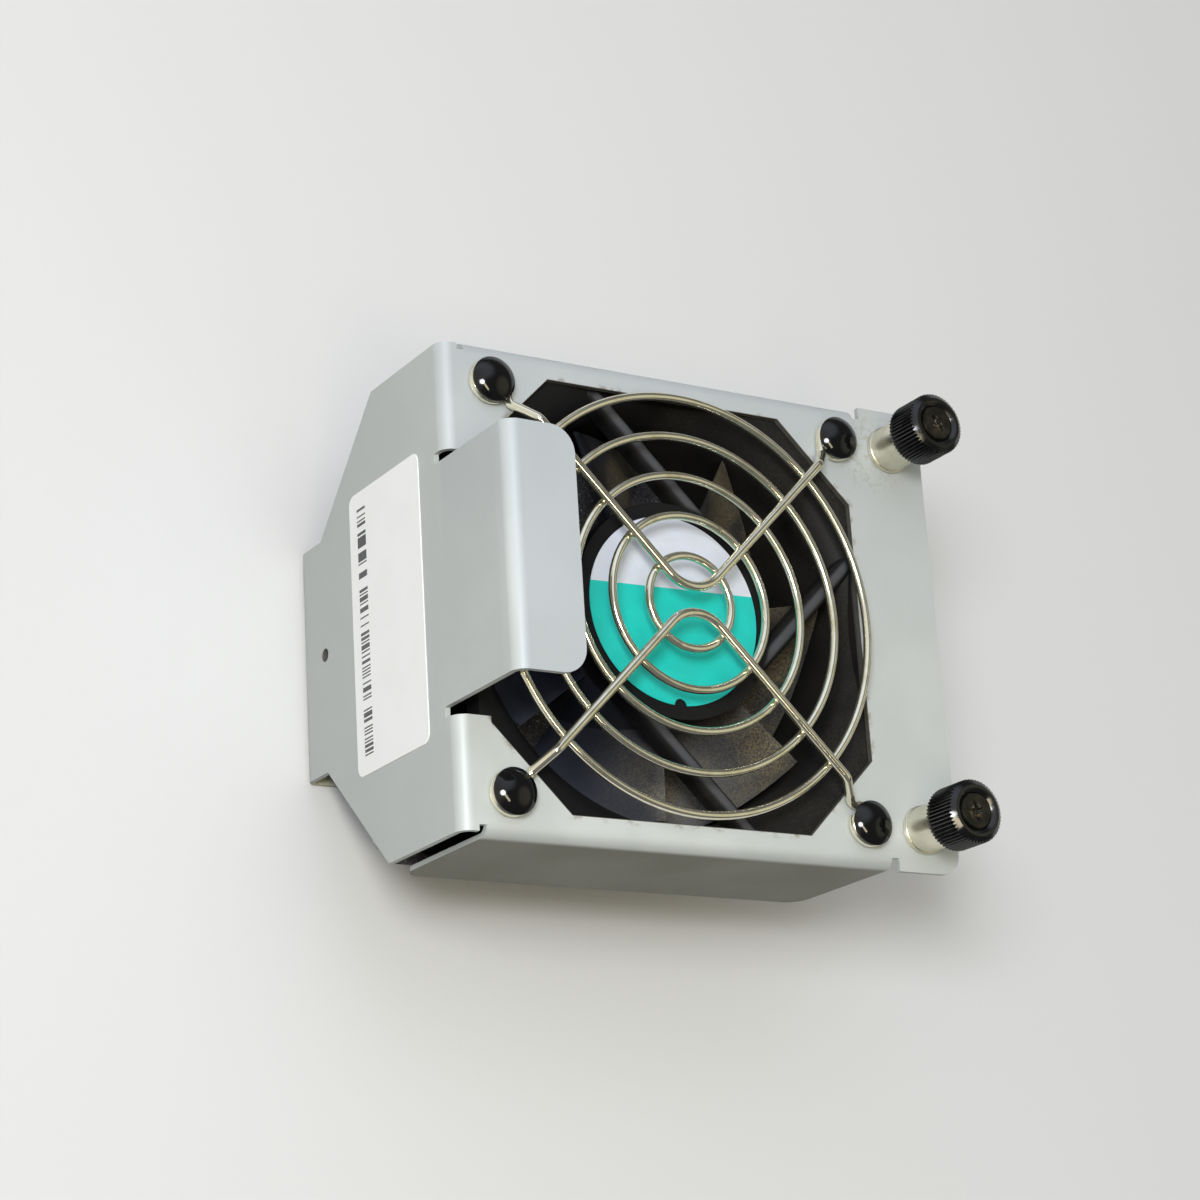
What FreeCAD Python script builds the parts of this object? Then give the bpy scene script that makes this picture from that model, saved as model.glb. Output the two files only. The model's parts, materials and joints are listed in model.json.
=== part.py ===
import FreeCAD, Part
import math
import os
from types import SimpleNamespace
import Sketcher

# Server fan tray: a bent sheet bracket that carries an axial fan, a wire guard and two captive thumbscrews.
# The origin is midway between the thumbscrews on the underside of the face plate, +Z is the side that faces
# the user, -X points to the pull tab, and left and right are seen from the tab looking toward the screws.

SIZES = {
    # Bracket
    "sheet": 1.0,
    "bend_inside": 1.5,
    "wall_gap": 3.8,
    "side_gap": 2.0,
    "side_back_past": 0.1,
    "side_front_past": 0.9,
    "side_depth": 28.3,
    "side_corner": 3.5,
    "notch_width": 1.4,
    "notch_reach": 1.9,
    "screw_line": 8.1,
    "screws_to_edge": 7.6,
    "screw_inset": 7.65,
    "flange_overhang": 0.4,
    "flange_corner": 4.0,
    "opening_margin": 1.7,
    "opening_chamfer": 14.4,
    "slot_gap": 1.9,
    "slot_relief": 1.2,
    "tab_width": 42.0,
    "tab_rise": 20.3,
    "tab_reach": 12.8,
    "tab_corner": 4.5,
    "wall_inset": 0.8,
    "shoulder_depth": 24.2,
    "foot_width": 42.4,
    "foot_depth": 45.5,
    "wall_depth": 54.5,
    "lip_reach": 12.0,
    "lip_corner": 2.0,
    "latch_hole": 2.3,
    "latch_depth": 45.0,
    "sticker_width": 50.8,
    "sticker_height": 25.6,
    "sticker_drop": 8.1,
    "sticker_corner": 1.8,
    "label_film": 0.15,
    # Fan frame
    "fan_size": 80.0,
    "fan_depth": 25.0,
    "fan_hole_inset": 4.25,
    "fan_hole": 4.4,
    "fan_corner": 3.5,
    "fan_flange": 4.0,
    "duct_wall": 1.6,
    "duct_inset": 3.4,
    "mouth_flare": 1.4,
    "bell_reach": 7.9,
    "bell_depth": 9.0,
    "bell_wall": 1.2,
    "base_diameter": 39.0,
    "base_drop": 0.6,
    "base_floor": 1.8,
    "base_wall": 1.3,
    "base_depth": 4.6,
    "label_diameter": 34.0,
    "label_recess": 0.3,
    "strut_width": 3.4,
    "strut_height": 3.6,
    # Rotor
    "blade_tip_gap": 0.7,
    "blade_inset": 0.3,
    "blade_bottom_gap": 2.7,
    "blade_sweep": 38.0,
    "blade_thickness": 1.5,
    "blade_camber": 2.0,
    "hub_diameter": 38.0,
    "hub_wall": 1.1,
    "hub_face": 1.6,
    "hub_gap": 0.8,
    "hub_face_drop": 1.2,
    "yoke_wall": 0.8,
    "magnet_wall": 2.0,
    "magnet_height": 10.0,
    "air_gap": 0.6,
    "shaft_diameter": 3.0,
    "boss_diameter": 7.0,
    "boss_height": 3.0,
    "clip_groove": 0.3,
    "clip_thickness": 0.4,
    "clip_diameter": 4.6,
    "preload_diameter": 4.2,
    "preload_wire": 0.4,
    "preload_height": 2.8,
    # Motor inside
    "bearing_diameter": 8.0,
    "bearing_width": 4.0,
    "bearing_drop": 3.6,
    "ball_diameter": 1.3,
    "ring_gap": 0.35,
    "ball_play": 0.03,
    "tube_wall": 1.0,
    "tube_lip": 0.2,
    "core_height": 5.0,
    "core_drop": 9.0,
    "pole_width": 5.0,
    "pole_shoe": 1.6,
    "core_ring": 1.6,
    "slot_mouth": 2.4,
    "insulator": 0.6,
    "coil_build": 1.4,
    "board_diameter": 29.0,
    "board_thickness": 1.0,
    "board_drop": 3.6,
    "chip_height": 1.4,
    # Guard
    "ring_wire": 1.5,
    "spoke_wire": 1.7,
    "ring_first": 8.3,
    "ring_margin": 1.0,
    "guard_height": 3.3,
    "apex_radius": 6.8,
    "apex_overlap": 0.5,
    "eyelet_radius": 3.2,
    "weld_sink": 0.15,
    "step_lead": 1.6,
    "step_run": 5.0,
    "step_radius": 2.2,
    # Push rivets
    "rivet_head": 8.0,
    "rivet_dome": 2.0,
    "rivet_rim": 0.3,
    "rivet_flange": 0.3,
    "rivet_play": 0.2,
    "rivet_pin": 2.2,
    "rivet_fit": 0.1,
    "rivet_spread_width": 0.6,
    "rivet_toe": 3.4,
    # Captive thumbscrews
    "collar_diameter": 8.3,
    "collar_base": 8.8,
    "collar_base_height": 1.0,
    "collar_height": 8.6,
    "collar_shank": 7.2,
    "collar_floor": 1.2,
    "collar_bore": 6.6,
    "screw_diameter": 3.5,
    "screw_neck": 2.7,
    "screw_clearance": 0.2,
    "screw_tip": 3.1,
    "screw_chamfer": 0.4,
    "screw_head": 0.8,
    "knob_diameter": 11.4,
    "knob_rise": 8.15,
    "knob_height": 7.45,
    "knob_band": 0.8,
    "knob_ring": 9.2,
    "knob_cavity": 5.55,
    "knob_clearance": 0.25,
    "knob_recess": 6.6,
    "knob_recess_depth": 1.0,
    "spring_wire": 0.6,
    "spring_diameter": 4.7,
}

# Counts and the angle at which the blades are parked
BLADES = 7
BLADE_PHASE = -59.0
STRUTS = 4
RIVETS = 4
BALLS_PER_BEARING = 7
POLES = 4
GUARD_RINGS = 5
SPRING_TURNS = 6
PRELOAD_TURNS = 2.5

# Board components: place, length and width, as shares of the board's radius
BOARD_PARTS = (
    (0.62, 0.0, 0.345, 0.276),
    (0.0, 0.75, 0.276, 0.11),
    (-0.55, -0.45, 0.138, 0.083),
    (-0.62, 0.35, 0.138, 0.083),
)

doc = FreeCAD.newDocument("FanTray")
sheet = doc.addObject("Spreadsheet::Sheet", "Sizes")
for row, (name, value) in enumerate(SIZES.items(), start=1):
    sheet.set(f"A{row}", name)
    sheet.set(f"B{row}", str(value))
    sheet.setAlias(f"B{row}", name)
doc.recompute()


class Size:
    """A length that knows its number and the sheet expression it comes from."""

    def __init__(self, value, text):
        self.value = value
        self.text = text

    def __add__(self, other):
        return Size(self.value + as_size(other).value, f"({self.text} + {as_size(other).text})")

    def __sub__(self, other):
        return Size(self.value - as_size(other).value, f"({self.text} - {as_size(other).text})")

    def __mul__(self, other):
        return Size(self.value * as_size(other).value, f"({self.text} * {as_size(other).text})")

    def __truediv__(self, other):
        return Size(self.value / as_size(other).value, f"({self.text} / {as_size(other).text})")

    def __neg__(self):
        return Size(-self.value, f"(-{self.text})")


def as_size(number):
    return number if isinstance(number, Size) else Size(float(number), repr(float(number)))


def root(size):
    return Size(math.sqrt(size.value), f"sqrt({size.text})")


def tangent(degrees):
    return Size(math.tan(math.radians(degrees.value)), f"tan({degrees.text})")


def leg(hypotenuse, side):
    """The third side of a right triangle."""
    return root(hypotenuse * hypotenuse - side * side)


S = SimpleNamespace(**{name: Size(value, f"Sizes.{name}") for name, value in SIZES.items()})


def bind(item, **fields):
    """Ties each named property to a size."""
    for field, size in fields.items():
        setattr(item, field, as_size(size).value)
        item.setExpression(field, as_size(size).text)


# Bodies whose later features leave flush faces apart
SEAMED = set()


def make_body(label, x=0, y=0, z=0):
    body = doc.addObject("PartDesign::Body", label)
    body.Label = label
    body.AllowCompound = True
    for axis, size in zip("xyz", (x, y, z)):
        body.setExpression(f"Placement.Base.{axis}", as_size(size).text)
    return body


def origin_item(body, role):
    return next(item for item in body.Origin.OriginFeatures if item.Role == role)


def make_sketch(body, plane, x=0, y=0, lift=0, turn=0, swing=0):
    """A sketch moved in an origin plane, lifted off it, turned about its normal, swung about its upright."""
    sketch = body.newObject("Sketcher::SketchObject", f"{body.Name}_sketch")
    sketch.AttachmentSupport = [(origin_item(body, plane), "")]
    sketch.MapMode = "FlatFace"
    about_normal = FreeCAD.Rotation(FreeCAD.Vector(0, 0, 1), turn)
    about_upright = FreeCAD.Rotation(FreeCAD.Vector(0, 1, 0), swing)
    sketch.AttachmentOffset = FreeCAD.Placement(FreeCAD.Vector(0, 0, 0), about_upright * about_normal)
    for axis, size in zip("xyz", (x, y, lift)):
        sketch.setExpression(f"AttachmentOffset.Base.{axis}", as_size(size).text)
    return sketch


# How a sketch numbers its own origin and the points of a curve
ORIGIN = -1
START = 1
END = 2
CENTRE = 3


def pin_point(sketch, geometry, point, x, y):
    """Holds one point of a sketch at its two sizes."""
    for kind, size in (("DistanceX", x), ("DistanceY", y)):
        number = as_size(size)
        index = sketch.addConstraint(Sketcher.Constraint(kind, ORIGIN, START, geometry, point, number.value))
        if isinstance(size, Size):
            sketch.setExpression(f"Constraints[{index}]", number.text)


def outline(sketch, points):
    """A closed polygon whose corners are held at the given sizes."""
    first = sketch.GeometryCount
    count = len(points)
    corners = [FreeCAD.Vector(as_size(x).value, as_size(y).value, 0) for x, y in points]
    for start, end in zip(corners, corners[1:] + corners[:1]):
        sketch.addGeometry(Part.LineSegment(start, end), False)
    for i in range(count):
        following = first + (i + 1) % count
        sketch.addConstraint(Sketcher.Constraint("Coincident", first + i, END, following, START))
    for i, (x, y) in enumerate(points):
        pin_point(sketch, first + i, START, x, y)


def other_end(point):
    return END if point == START else START


def bow(sketch, start, through, end):
    """An arc through three points, each held at its sizes."""
    spots = [FreeCAD.Vector(as_size(x).value, as_size(y).value, 0) for x, y in (start, through, end)]
    arc = sketch.addGeometry(Part.Arc(*spots), False)
    # an arc always runs counter-clockwise, so its first point may be either end
    first = START if sketch.getPoint(arc, START).isEqual(spots[0], 1e-6) else END
    middle = sketch.addGeometry(Part.Point(spots[1]), True)
    pin_point(sketch, middle, START, *through)
    sketch.addConstraint(Sketcher.Constraint("PointOnObject", middle, START, arc))
    pin_point(sketch, arc, first, *start)
    pin_point(sketch, arc, other_end(first), *end)
    return arc, first


def line(sketch, start, end):
    spots = [FreeCAD.Vector(as_size(x).value, as_size(y).value, 0) for x, y in (start, end)]
    segment = sketch.addGeometry(Part.LineSegment(*spots), False)
    return segment, START


def join(sketch, pieces):
    """Closes a chain of lines and arcs, each given with the number of its first point."""
    for (here, first), (there, start) in zip(pieces, pieces[1:] + pieces[:1]):
        sketch.addConstraint(Sketcher.Constraint("Coincident", here, other_end(first), there, start))


def circle(sketch, diameter, x=0, y=0):
    centre = FreeCAD.Vector(as_size(x).value, as_size(y).value, 0)
    round_edge = Part.Circle(centre, FreeCAD.Vector(0, 0, 1), as_size(diameter).value / 2)
    geometry = sketch.addGeometry(round_edge, False)
    pin_point(sketch, geometry, CENTRE, x, y)
    index = sketch.addConstraint(Sketcher.Constraint("Diameter", geometry, as_size(diameter).value))
    sketch.setExpression(f"Constraints[{index}]", as_size(diameter).text)


def rectangle(sketch, x0, y0, x1, y1):
    outline(sketch, [(x0, y0), (x1, y0), (x1, y1), (x0, y1)])


def add_feature(body, kind, sketch, **options):
    feature = body.newObject(f"PartDesign::{kind}", f"{body.Name}_{kind}")
    feature.Refine = body.Name not in SEAMED
    feature.Profile = sketch
    for field, value in options.items():
        setattr(feature, field, value)
    return feature


def pad(body, sketch, length, symmetric=False, reverse=False):
    side_type = "Symmetric" if symmetric else "One side"
    feature = add_feature(body, "Pad", sketch, SideType=side_type, Reversed=reverse)
    bind(feature, Length=length)
    doc.recompute()
    return feature


def pad_both_ways(body, sketch, forward, back):
    feature = add_feature(body, "Pad", sketch, SideType="Two sides")
    bind(feature, Length=forward, Length2=back)
    doc.recompute()
    return feature


def pocket(body, sketch, length, symmetric=False, reverse=False):
    """A cut that must take material away."""
    before = body.Shape.Volume
    side_type = "Symmetric" if symmetric else "One side"
    feature = add_feature(body, "Pocket", sketch, SideType=side_type, Reversed=reverse)
    bind(feature, Length=length)
    doc.recompute()
    if body.Shape.Volume > before - 1e-6:
        raise ValueError(f"{body.Label}: a pocket cuts nothing")
    return feature


def revolve(body, sketch):
    feature = add_feature(body, "Revolution", sketch, ReferenceAxis=(sketch, ["V_Axis"]), Angle=360.0)
    doc.recompute()
    return feature


def turn_out(body, sketch):
    """A turned cut that must take material away."""
    before = body.Shape.Volume
    feature = add_feature(body, "Groove", sketch, ReferenceAxis=(sketch, ["V_Axis"]), Angle=360.0)
    doc.recompute()
    if body.Shape.Volume > before - 1e-6 or feature.Shape.isNull():
        raise ValueError(f"{body.Label}: a groove cuts nothing")
    return feature


def repeat_round(body, features, count):
    """Repeats features evenly about the body's own Z axis."""
    pattern = body.newObject("PartDesign::PolarPattern", f"{body.Name}_round")
    pattern.Originals = features
    pattern.Axis = (origin_item(body, "Z_Axis"), [""])
    pattern.Angle = 360.0
    pattern.Occurrences = count
    body.Tip = pattern
    doc.recompute()
    return pattern


def soften(body, kind, size, choose):
    """A fillet or chamfer on every edge that choose accepts, given the edge's middle and direction."""
    names = []
    for number, edge in enumerate(body.Shape.Edges, start=1):
        middle = edge.valueAt((edge.FirstParameter + edge.LastParameter) / 2) - body.Placement.Base
        along = edge.tangentAt((edge.FirstParameter + edge.LastParameter) / 2)
        if choose(edge, middle, along):
            names.append(f"Edge{number}")
    if not names:
        raise ValueError(f"{body.Label}: no edge to soften")
    feature = body.newObject(f"PartDesign::{kind}", f"{body.Name}_{kind}")
    feature.Refine = body.Name not in SEAMED
    feature.Base = (body.Tip if body.Tip is not feature else feature.BaseFeature, names)
    bind(feature, **{"Radius" if kind == "Fillet" else "Size": size})
    body.Tip = feature
    doc.recompute()
    return feature


def near(value, *targets):
    return any(abs(value - as_size(target).value) < 1e-4 for target in targets)


# The least share of a straight edge's direction that counts as running along an axis
ALONG = 0.999


def straight_edges(axis, **at):
    """Accepts straight edges along one axis whose middle is at the given places."""
    def choose(edge, middle, along):
        if edge.Curve.TypeId != "Part::GeomLine" or abs(getattr(along, axis)) < ALONG:
            return False
        return all(near(getattr(middle, key), *targets) for key, targets in at.items())
    return choose


PARTS = []


def keep(item):
    PARTS.append(item)
    return item


# Places shared by several pieces, measured from the fan's axis
fan_half = S.fan_size / 2
axis_to_screws = fan_half + S.screw_line
fan_x = -axis_to_screws
bend_outside = S.bend_inside + S.sheet
wall_inner = -fan_half - S.wall_gap
wall_face = wall_inner - S.sheet
inner_span = fan_half + S.side_gap
half_span = inner_span + S.sheet
side_back = fan_half + S.side_back_past
side_front = fan_half + S.side_front_past
flange_half = half_span + S.flange_overhang
plate_end = axis_to_screws + S.screws_to_edge
screw_place = flange_half - S.screw_inset
rivet_place = fan_half - S.fan_hole_inset
duct_radius = fan_half - S.duct_inset
opening_half = duct_radius + S.opening_margin


def make_bracket():
    body = make_body("tray_bracket", x=fan_x)
    notch_line = half_span - S.notch_reach
    slot_floor = -(S.bend_inside + S.slot_relief)

    # Face plate with its two side walls
    profile = make_sketch(body, "YZ_Plane")
    outline(profile, [
        (-half_span, -S.side_depth), (-half_span, S.sheet), (half_span, S.sheet),
        (half_span, -S.side_depth), (inner_span, -S.side_depth), (inner_span, 0), (-inner_span, 0),
        (-inner_span, -S.side_depth)])
    pad_both_ways(body, profile, side_front, side_back)
    soften(body, "Fillet", bend_outside, straight_edges("x", y=(half_span, -half_span), z=(S.sheet,)))
    soften(body, "Fillet", S.bend_inside, straight_edges("x", y=(inner_span, -inner_span), z=(0,)))
    soften(body, "Fillet", S.side_corner,
           straight_edges("y", x=(side_front, -side_back), z=(-S.side_depth,)))

    # Rear bend and the top of the rear wall
    rear = make_sketch(body, "XZ_Plane")
    outline(rear, [(-side_back, S.sheet), (wall_face, S.sheet), (wall_face, slot_floor),
                   (wall_inner, slot_floor), (wall_inner, 0), (-side_back, 0)])
    wall_half = half_span - S.wall_inset
    pad(body, rear, wall_half * 2, symmetric=True)
    soften(body, "Fillet", bend_outside, straight_edges("y", x=(wall_face,), z=(S.sheet,)))
    soften(body, "Fillet", S.bend_inside, straight_edges("y", x=(wall_inner,), z=(0,)))

    # Rear wall, tapering to its foot, and the hook lip under it
    wall = make_sketch(body, "YZ_Plane", lift=wall_face)
    foot_half = S.foot_width / 2
    outline(wall, [
        (-wall_half, slot_floor), (-wall_half, -S.shoulder_depth), (-foot_half, -S.foot_depth),
        (-foot_half, bend_outside - S.wall_depth), (foot_half, bend_outside - S.wall_depth),
        (foot_half, -S.foot_depth), (wall_half, -S.shoulder_depth), (wall_half, slot_floor)])
    pad(body, wall, S.sheet)
    lip = make_sketch(body, "XZ_Plane")
    lip_end = wall_face + S.lip_reach
    lip_top = S.sheet - S.wall_depth
    foot_low = bend_outside - S.wall_depth
    outline(lip, [(wall_face, foot_low), (wall_face, -S.wall_depth), (lip_end, -S.wall_depth),
                  (lip_end, lip_top), (wall_inner, lip_top), (wall_inner, foot_low)])
    pad(body, lip, S.foot_width, symmetric=True)
    soften(body, "Fillet", bend_outside, straight_edges("y", x=(wall_face,), z=(-S.wall_depth,)))
    soften(body, "Fillet", S.bend_inside, straight_edges("y", x=(wall_inner,), z=(lip_top,)))
    soften(body, "Fillet", S.lip_corner, straight_edges("z", x=(lip_end,), y=(foot_half, -foot_half)))

    # Air opening, joined to the slot that frees the tab from the plate
    opening = make_sketch(body, "XY_Plane")
    flat = opening_half
    corner = flat - S.opening_chamfer
    slot_half = S.tab_width / 2 + S.slot_gap
    past_wall = wall_face - S.sheet
    outline(opening, [
        (past_wall, -slot_half), (-flat, -slot_half), (-flat, -corner), (-corner, -flat), (corner, -flat),
        (flat, -corner), (flat, corner), (corner, flat), (-corner, flat), (-flat, corner), (-flat, slot_half),
        (past_wall, slot_half)])
    pocket(body, opening, -slot_floor * 2, symmetric=True)

    # Pull tab: the wall carried on above the plate and folded over the guard
    tab = make_sketch(body, "XZ_Plane")
    tab_end = wall_face + S.tab_reach
    tab_top = S.sheet + S.tab_rise
    tab_under = tab_top - S.sheet
    outline(tab, [(wall_face, slot_floor), (wall_face, tab_top), (tab_end, tab_top), (tab_end, tab_under),
                  (wall_inner, tab_under), (wall_inner, slot_floor)])
    pad(body, tab, S.tab_width, symmetric=True)
    tab_half = S.tab_width / 2
    soften(body, "Fillet", bend_outside, straight_edges("y", x=(wall_face,), z=(tab_top,)))
    soften(body, "Fillet", S.bend_inside, straight_edges("y", x=(wall_inner,), z=(tab_under,)))
    soften(body, "Fillet", S.tab_corner, straight_edges("z", x=(tab_end,), y=(tab_half, -tab_half)))

    # Flange that carries the thumbscrews, set off by a relief notch at each bend; its faces keep their seam
    # with the plate, because the tray seats on the flange alone
    SEAMED.add(body.Name)
    flange = make_sketch(body, "XY_Plane")
    notch_front = side_front + S.notch_width
    outline(flange, [
        (side_front, -notch_line), (notch_front, -notch_line), (notch_front, -flange_half),
        (plate_end, -flange_half), (plate_end, flange_half), (notch_front, flange_half),
        (notch_front, notch_line), (side_front, notch_line)])
    pad(body, flange, S.sheet)
    soften(body, "Fillet", S.flange_corner,
           straight_edges("z", x=(plate_end,), y=(flange_half, -flange_half)))

    # Relief notches beside the rear wall
    notches = make_sketch(body, "XY_Plane")
    for side in (1, -1):
        rectangle(notches, -side_back - S.notch_width, notch_line * side, -side_back, half_span * 2 * side)
    pocket(body, notches, bend_outside * 2, symmetric=True)

    # Holes for the rivets, the screw collars and the latch
    holes = make_sketch(body, "XY_Plane")
    for side in (1, -1):
        for end in (1, -1):
            circle(holes, S.fan_hole, rivet_place * end, rivet_place * side)
        circle(holes, S.collar_shank, axis_to_screws, screw_place * side)
    pocket(body, holes, S.sheet * 3, symmetric=True)
    latch = make_sketch(body, "YZ_Plane", lift=wall_face)
    circle(latch, S.latch_hole, 0, -S.latch_depth)
    pocket(body, latch, S.sheet * 3, symmetric=True)
    return keep(body)


def make_sticker():
    body = make_body("wall_sticker", x=fan_x)
    sketch = make_sketch(body, "YZ_Plane", lift=wall_face)
    half = S.sticker_width / 2
    low = -S.sticker_drop - S.sticker_height
    rectangle(sketch, -half, low, half, -S.sticker_drop)
    pad(body, sketch, S.label_film, reverse=True)
    soften(body, "Fillet", S.sticker_corner, straight_edges("x", y=(half, -half), z=(low, -S.sticker_drop)))
    return keep(body)


# Heights of the fan's inside, from the frame's upper face down
base_top = -S.base_drop
base_under = base_top - S.base_floor
base_rim = base_top - S.base_depth
label_seat = base_top - S.label_recess
board_top = -S.board_drop
board_under = board_top - S.board_thickness
hub_top = base_rim - S.hub_gap
hub_bottom = S.hub_face_drop - S.fan_depth
hub_floor = hub_bottom + S.hub_face
core_top = -S.core_drop
core_bottom = core_top - S.core_height
boss_top = hub_floor + S.boss_height
upper_bearing = -S.bearing_drop
lower_bearing = boss_top + S.preload_height + S.bearing_width

# Radii of the fan's inside, from the shaft out
shaft_radius = S.shaft_diameter / 2
bearing_radius = S.bearing_diameter / 2
ball_circle = (shaft_radius + bearing_radius) / 2
tube_radius = bearing_radius + S.tube_wall
core_ring = tube_radius + S.core_ring
base_radius = S.base_diameter / 2
hub_radius = S.hub_diameter / 2
yoke_radius = hub_radius - S.hub_wall
magnet_radius = yoke_radius - S.yoke_wall
core_radius = magnet_radius - S.magnet_wall - S.air_gap
shoe_inside = core_radius - S.pole_shoe
tip_radius = duct_radius - S.blade_tip_gap


def make_fan_frame():
    body = make_body("fan_frame", x=fan_x)
    duct = make_sketch(body, "XY_Plane")
    circle(duct, (duct_radius + S.duct_wall) * 2)
    pad(body, duct, S.fan_depth, reverse=True)
    collar = make_sketch(body, "XY_Plane")
    circle(collar, (duct_radius + S.duct_wall * 2) * 2)
    pad(body, collar, S.bell_depth, reverse=True)
    for level in (-S.fan_flange, -S.fan_depth):
        square = make_sketch(body, "XY_Plane", lift=level)
        rectangle(square, -fan_half, -fan_half, fan_half, fan_half)
        pad(body, square, S.fan_flange)

    # The duct widens towards the plate in a bell that reaches into the four corners
    bell = make_sketch(body, "XZ_Plane")
    bell_edge = duct_radius + S.bell_reach
    bell_curve = (S.bell_reach * S.bell_reach + S.bell_depth * S.bell_depth) / (S.bell_reach * 2)
    halfway = (duct_radius + bell_curve - leg(bell_curve, S.bell_depth / 2), -S.bell_depth / 2)
    above = S.fan_flange
    below = -(S.fan_depth + S.fan_flange)
    pieces = [
        bow(bell, (duct_radius, -S.bell_depth), halfway, (bell_edge, 0)),
        line(bell, (bell_edge, 0), (bell_edge, above)),
        line(bell, (bell_edge, above), (0, above)),
        line(bell, (0, above), (0, below)),
        line(bell, (0, below), (duct_radius, below)),
        line(bell, (duct_radius, below), (duct_radius, -S.bell_depth)),
    ]
    join(bell, pieces)
    for index, spot in ((2, (bell_edge, above)), (3, (0, above)), (4, (0, below)), (5, (duct_radius, below))):
        pin_point(bell, pieces[index][0], START, *spot)
    turn_out(body, bell)

    # Straight outer walls stand round the bell where it would run out of the sides
    walls = make_sketch(body, "XY_Plane", lift=-S.fan_flange)
    wall_inside = fan_half - S.bell_wall
    rectangle(walls, -fan_half, -fan_half, fan_half, fan_half)
    rectangle(walls, -wall_inside, -wall_inside, wall_inside, wall_inside)
    pad(body, walls, S.fan_flange)
    soften(body, "Fillet", S.fan_corner,
           straight_edges("z", x=(fan_half, -fan_half), y=(fan_half, -fan_half)))
    def inlet(edge, middle, along):
        on_rim = edge.Curve.TypeId == "Part::GeomCircle" and near(edge.Curve.Radius, duct_radius)
        return on_rim and near(middle.z, -S.fan_depth)
    soften(body, "Chamfer", S.mouth_flare, inlet)

    holes = make_sketch(body, "XY_Plane")
    for side in (1, -1):
        for end in (1, -1):
            circle(holes, S.fan_hole, rivet_place * end, rivet_place * side)
    pocket(body, holes, S.fan_depth * 3, symmetric=True)

    # Motor base: a shallow cup with the label recess above and the tube seat below
    base = make_sketch(body, "XZ_Plane")
    recess = S.label_diameter / 2 + S.label_film
    cup = base_radius - S.base_wall
    seat = tube_radius + S.base_wall
    outline(base, [
        (0, label_seat), (recess, label_seat), (recess, base_top), (base_radius, base_top),
        (base_radius, base_rim), (cup, base_rim), (cup, base_under), (seat, base_under), (seat, board_top),
        (tube_radius, board_top), (tube_radius, base_under), (0, base_under)])
    revolve(body, base)

    # Four round-topped struts leave the motor base tangentially and run at 45 degrees to the frame
    strut = make_sketch(body, "XZ_Plane", swing=45)
    inside = base_radius - S.strut_width
    low = label_seat - S.strut_height
    half = S.strut_width / 2
    shoulder = label_seat - half
    pieces = [
        line(strut, (inside, low), (inside, shoulder)),
        bow(strut, (inside, shoulder), (base_radius - half, label_seat), (base_radius, shoulder)),
        line(strut, (base_radius, shoulder), (base_radius, low)),
        line(strut, (base_radius, low), (inside, low)),
    ]
    join(strut, pieces)
    pin_point(strut, pieces[0][0], START, inside, low)
    pin_point(strut, pieces[-1][0], START, base_radius, low)
    first = pad(body, strut, (fan_half - S.bell_wall / 2) * math.sqrt(2) - inside, reverse=True)
    repeat_round(body, [first], STRUTS)

    # The struts end flush with the frame's sides
    outside = make_sketch(body, "XY_Plane")
    rectangle(outside, -S.fan_size, -S.fan_size, S.fan_size, S.fan_size)
    rectangle(outside, -fan_half, -fan_half, fan_half, fan_half)
    pocket(body, outside, S.fan_depth * 3, symmetric=True)
    return keep(body)


def make_motor_label():
    body = make_body("motor_label", x=fan_x)
    sketch = make_sketch(body, "XY_Plane", lift=label_seat)
    circle(sketch, S.label_diameter)
    pad(body, sketch, S.label_film)
    return keep(body)


def make_bearing_tube():
    body = make_body("bearing_tube", x=fan_x)
    sketch = make_sketch(body, "XZ_Plane")
    shoulder = bearing_radius - S.ring_gap
    foot = lower_bearing - S.bearing_width - S.tube_lip
    outline(sketch, [
        (bearing_radius, base_under), (tube_radius, base_under), (tube_radius, foot), (bearing_radius, foot),
        (bearing_radius, lower_bearing), (shoulder, lower_bearing),
        (shoulder, upper_bearing - S.bearing_width), (bearing_radius, upper_bearing - S.bearing_width)])
    revolve(body, sketch)
    return keep(body)


def make_bearings():
    raceway = S.ball_diameter + S.ball_play * 2
    rings = {
        "bearing_outer_rings": (ball_circle + S.ring_gap, bearing_radius),
        "bearing_inner_rings": (shaft_radius, ball_circle - S.ring_gap),
    }
    for label, (inside, outside) in rings.items():
        body = make_body(label, x=fan_x)
        section = make_sketch(body, "XZ_Plane")
        grooves = make_sketch(body, "XZ_Plane")
        for top in (upper_bearing, lower_bearing):
            rectangle(section, inside, top - S.bearing_width, outside, top)
            circle(grooves, raceway, ball_circle, top - S.bearing_width / 2)
        revolve(body, section)
        turn_out(body, grooves)
        keep(body)

    # The balls rest in the outer raceways
    body = make_body("bearing_balls", x=fan_x)
    balls = []
    for top in (upper_bearing, lower_bearing):
        ball = body.newObject("PartDesign::AdditiveSphere", "ball")
        ball.AttachmentSupport = [(origin_item(body, "XY_Plane"), "")]
        ball.MapMode = "FlatFace"
        bind(ball, Radius=S.ball_diameter / 2)
        ball.setExpression("AttachmentOffset.Base.x", (ball_circle + S.ball_play).text)
        ball.setExpression("AttachmentOffset.Base.z", (top - S.bearing_width / 2).text)
        balls.append(ball)
    doc.recompute()
    repeat_round(body, balls, BALLS_PER_BEARING)
    keep(body)


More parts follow.
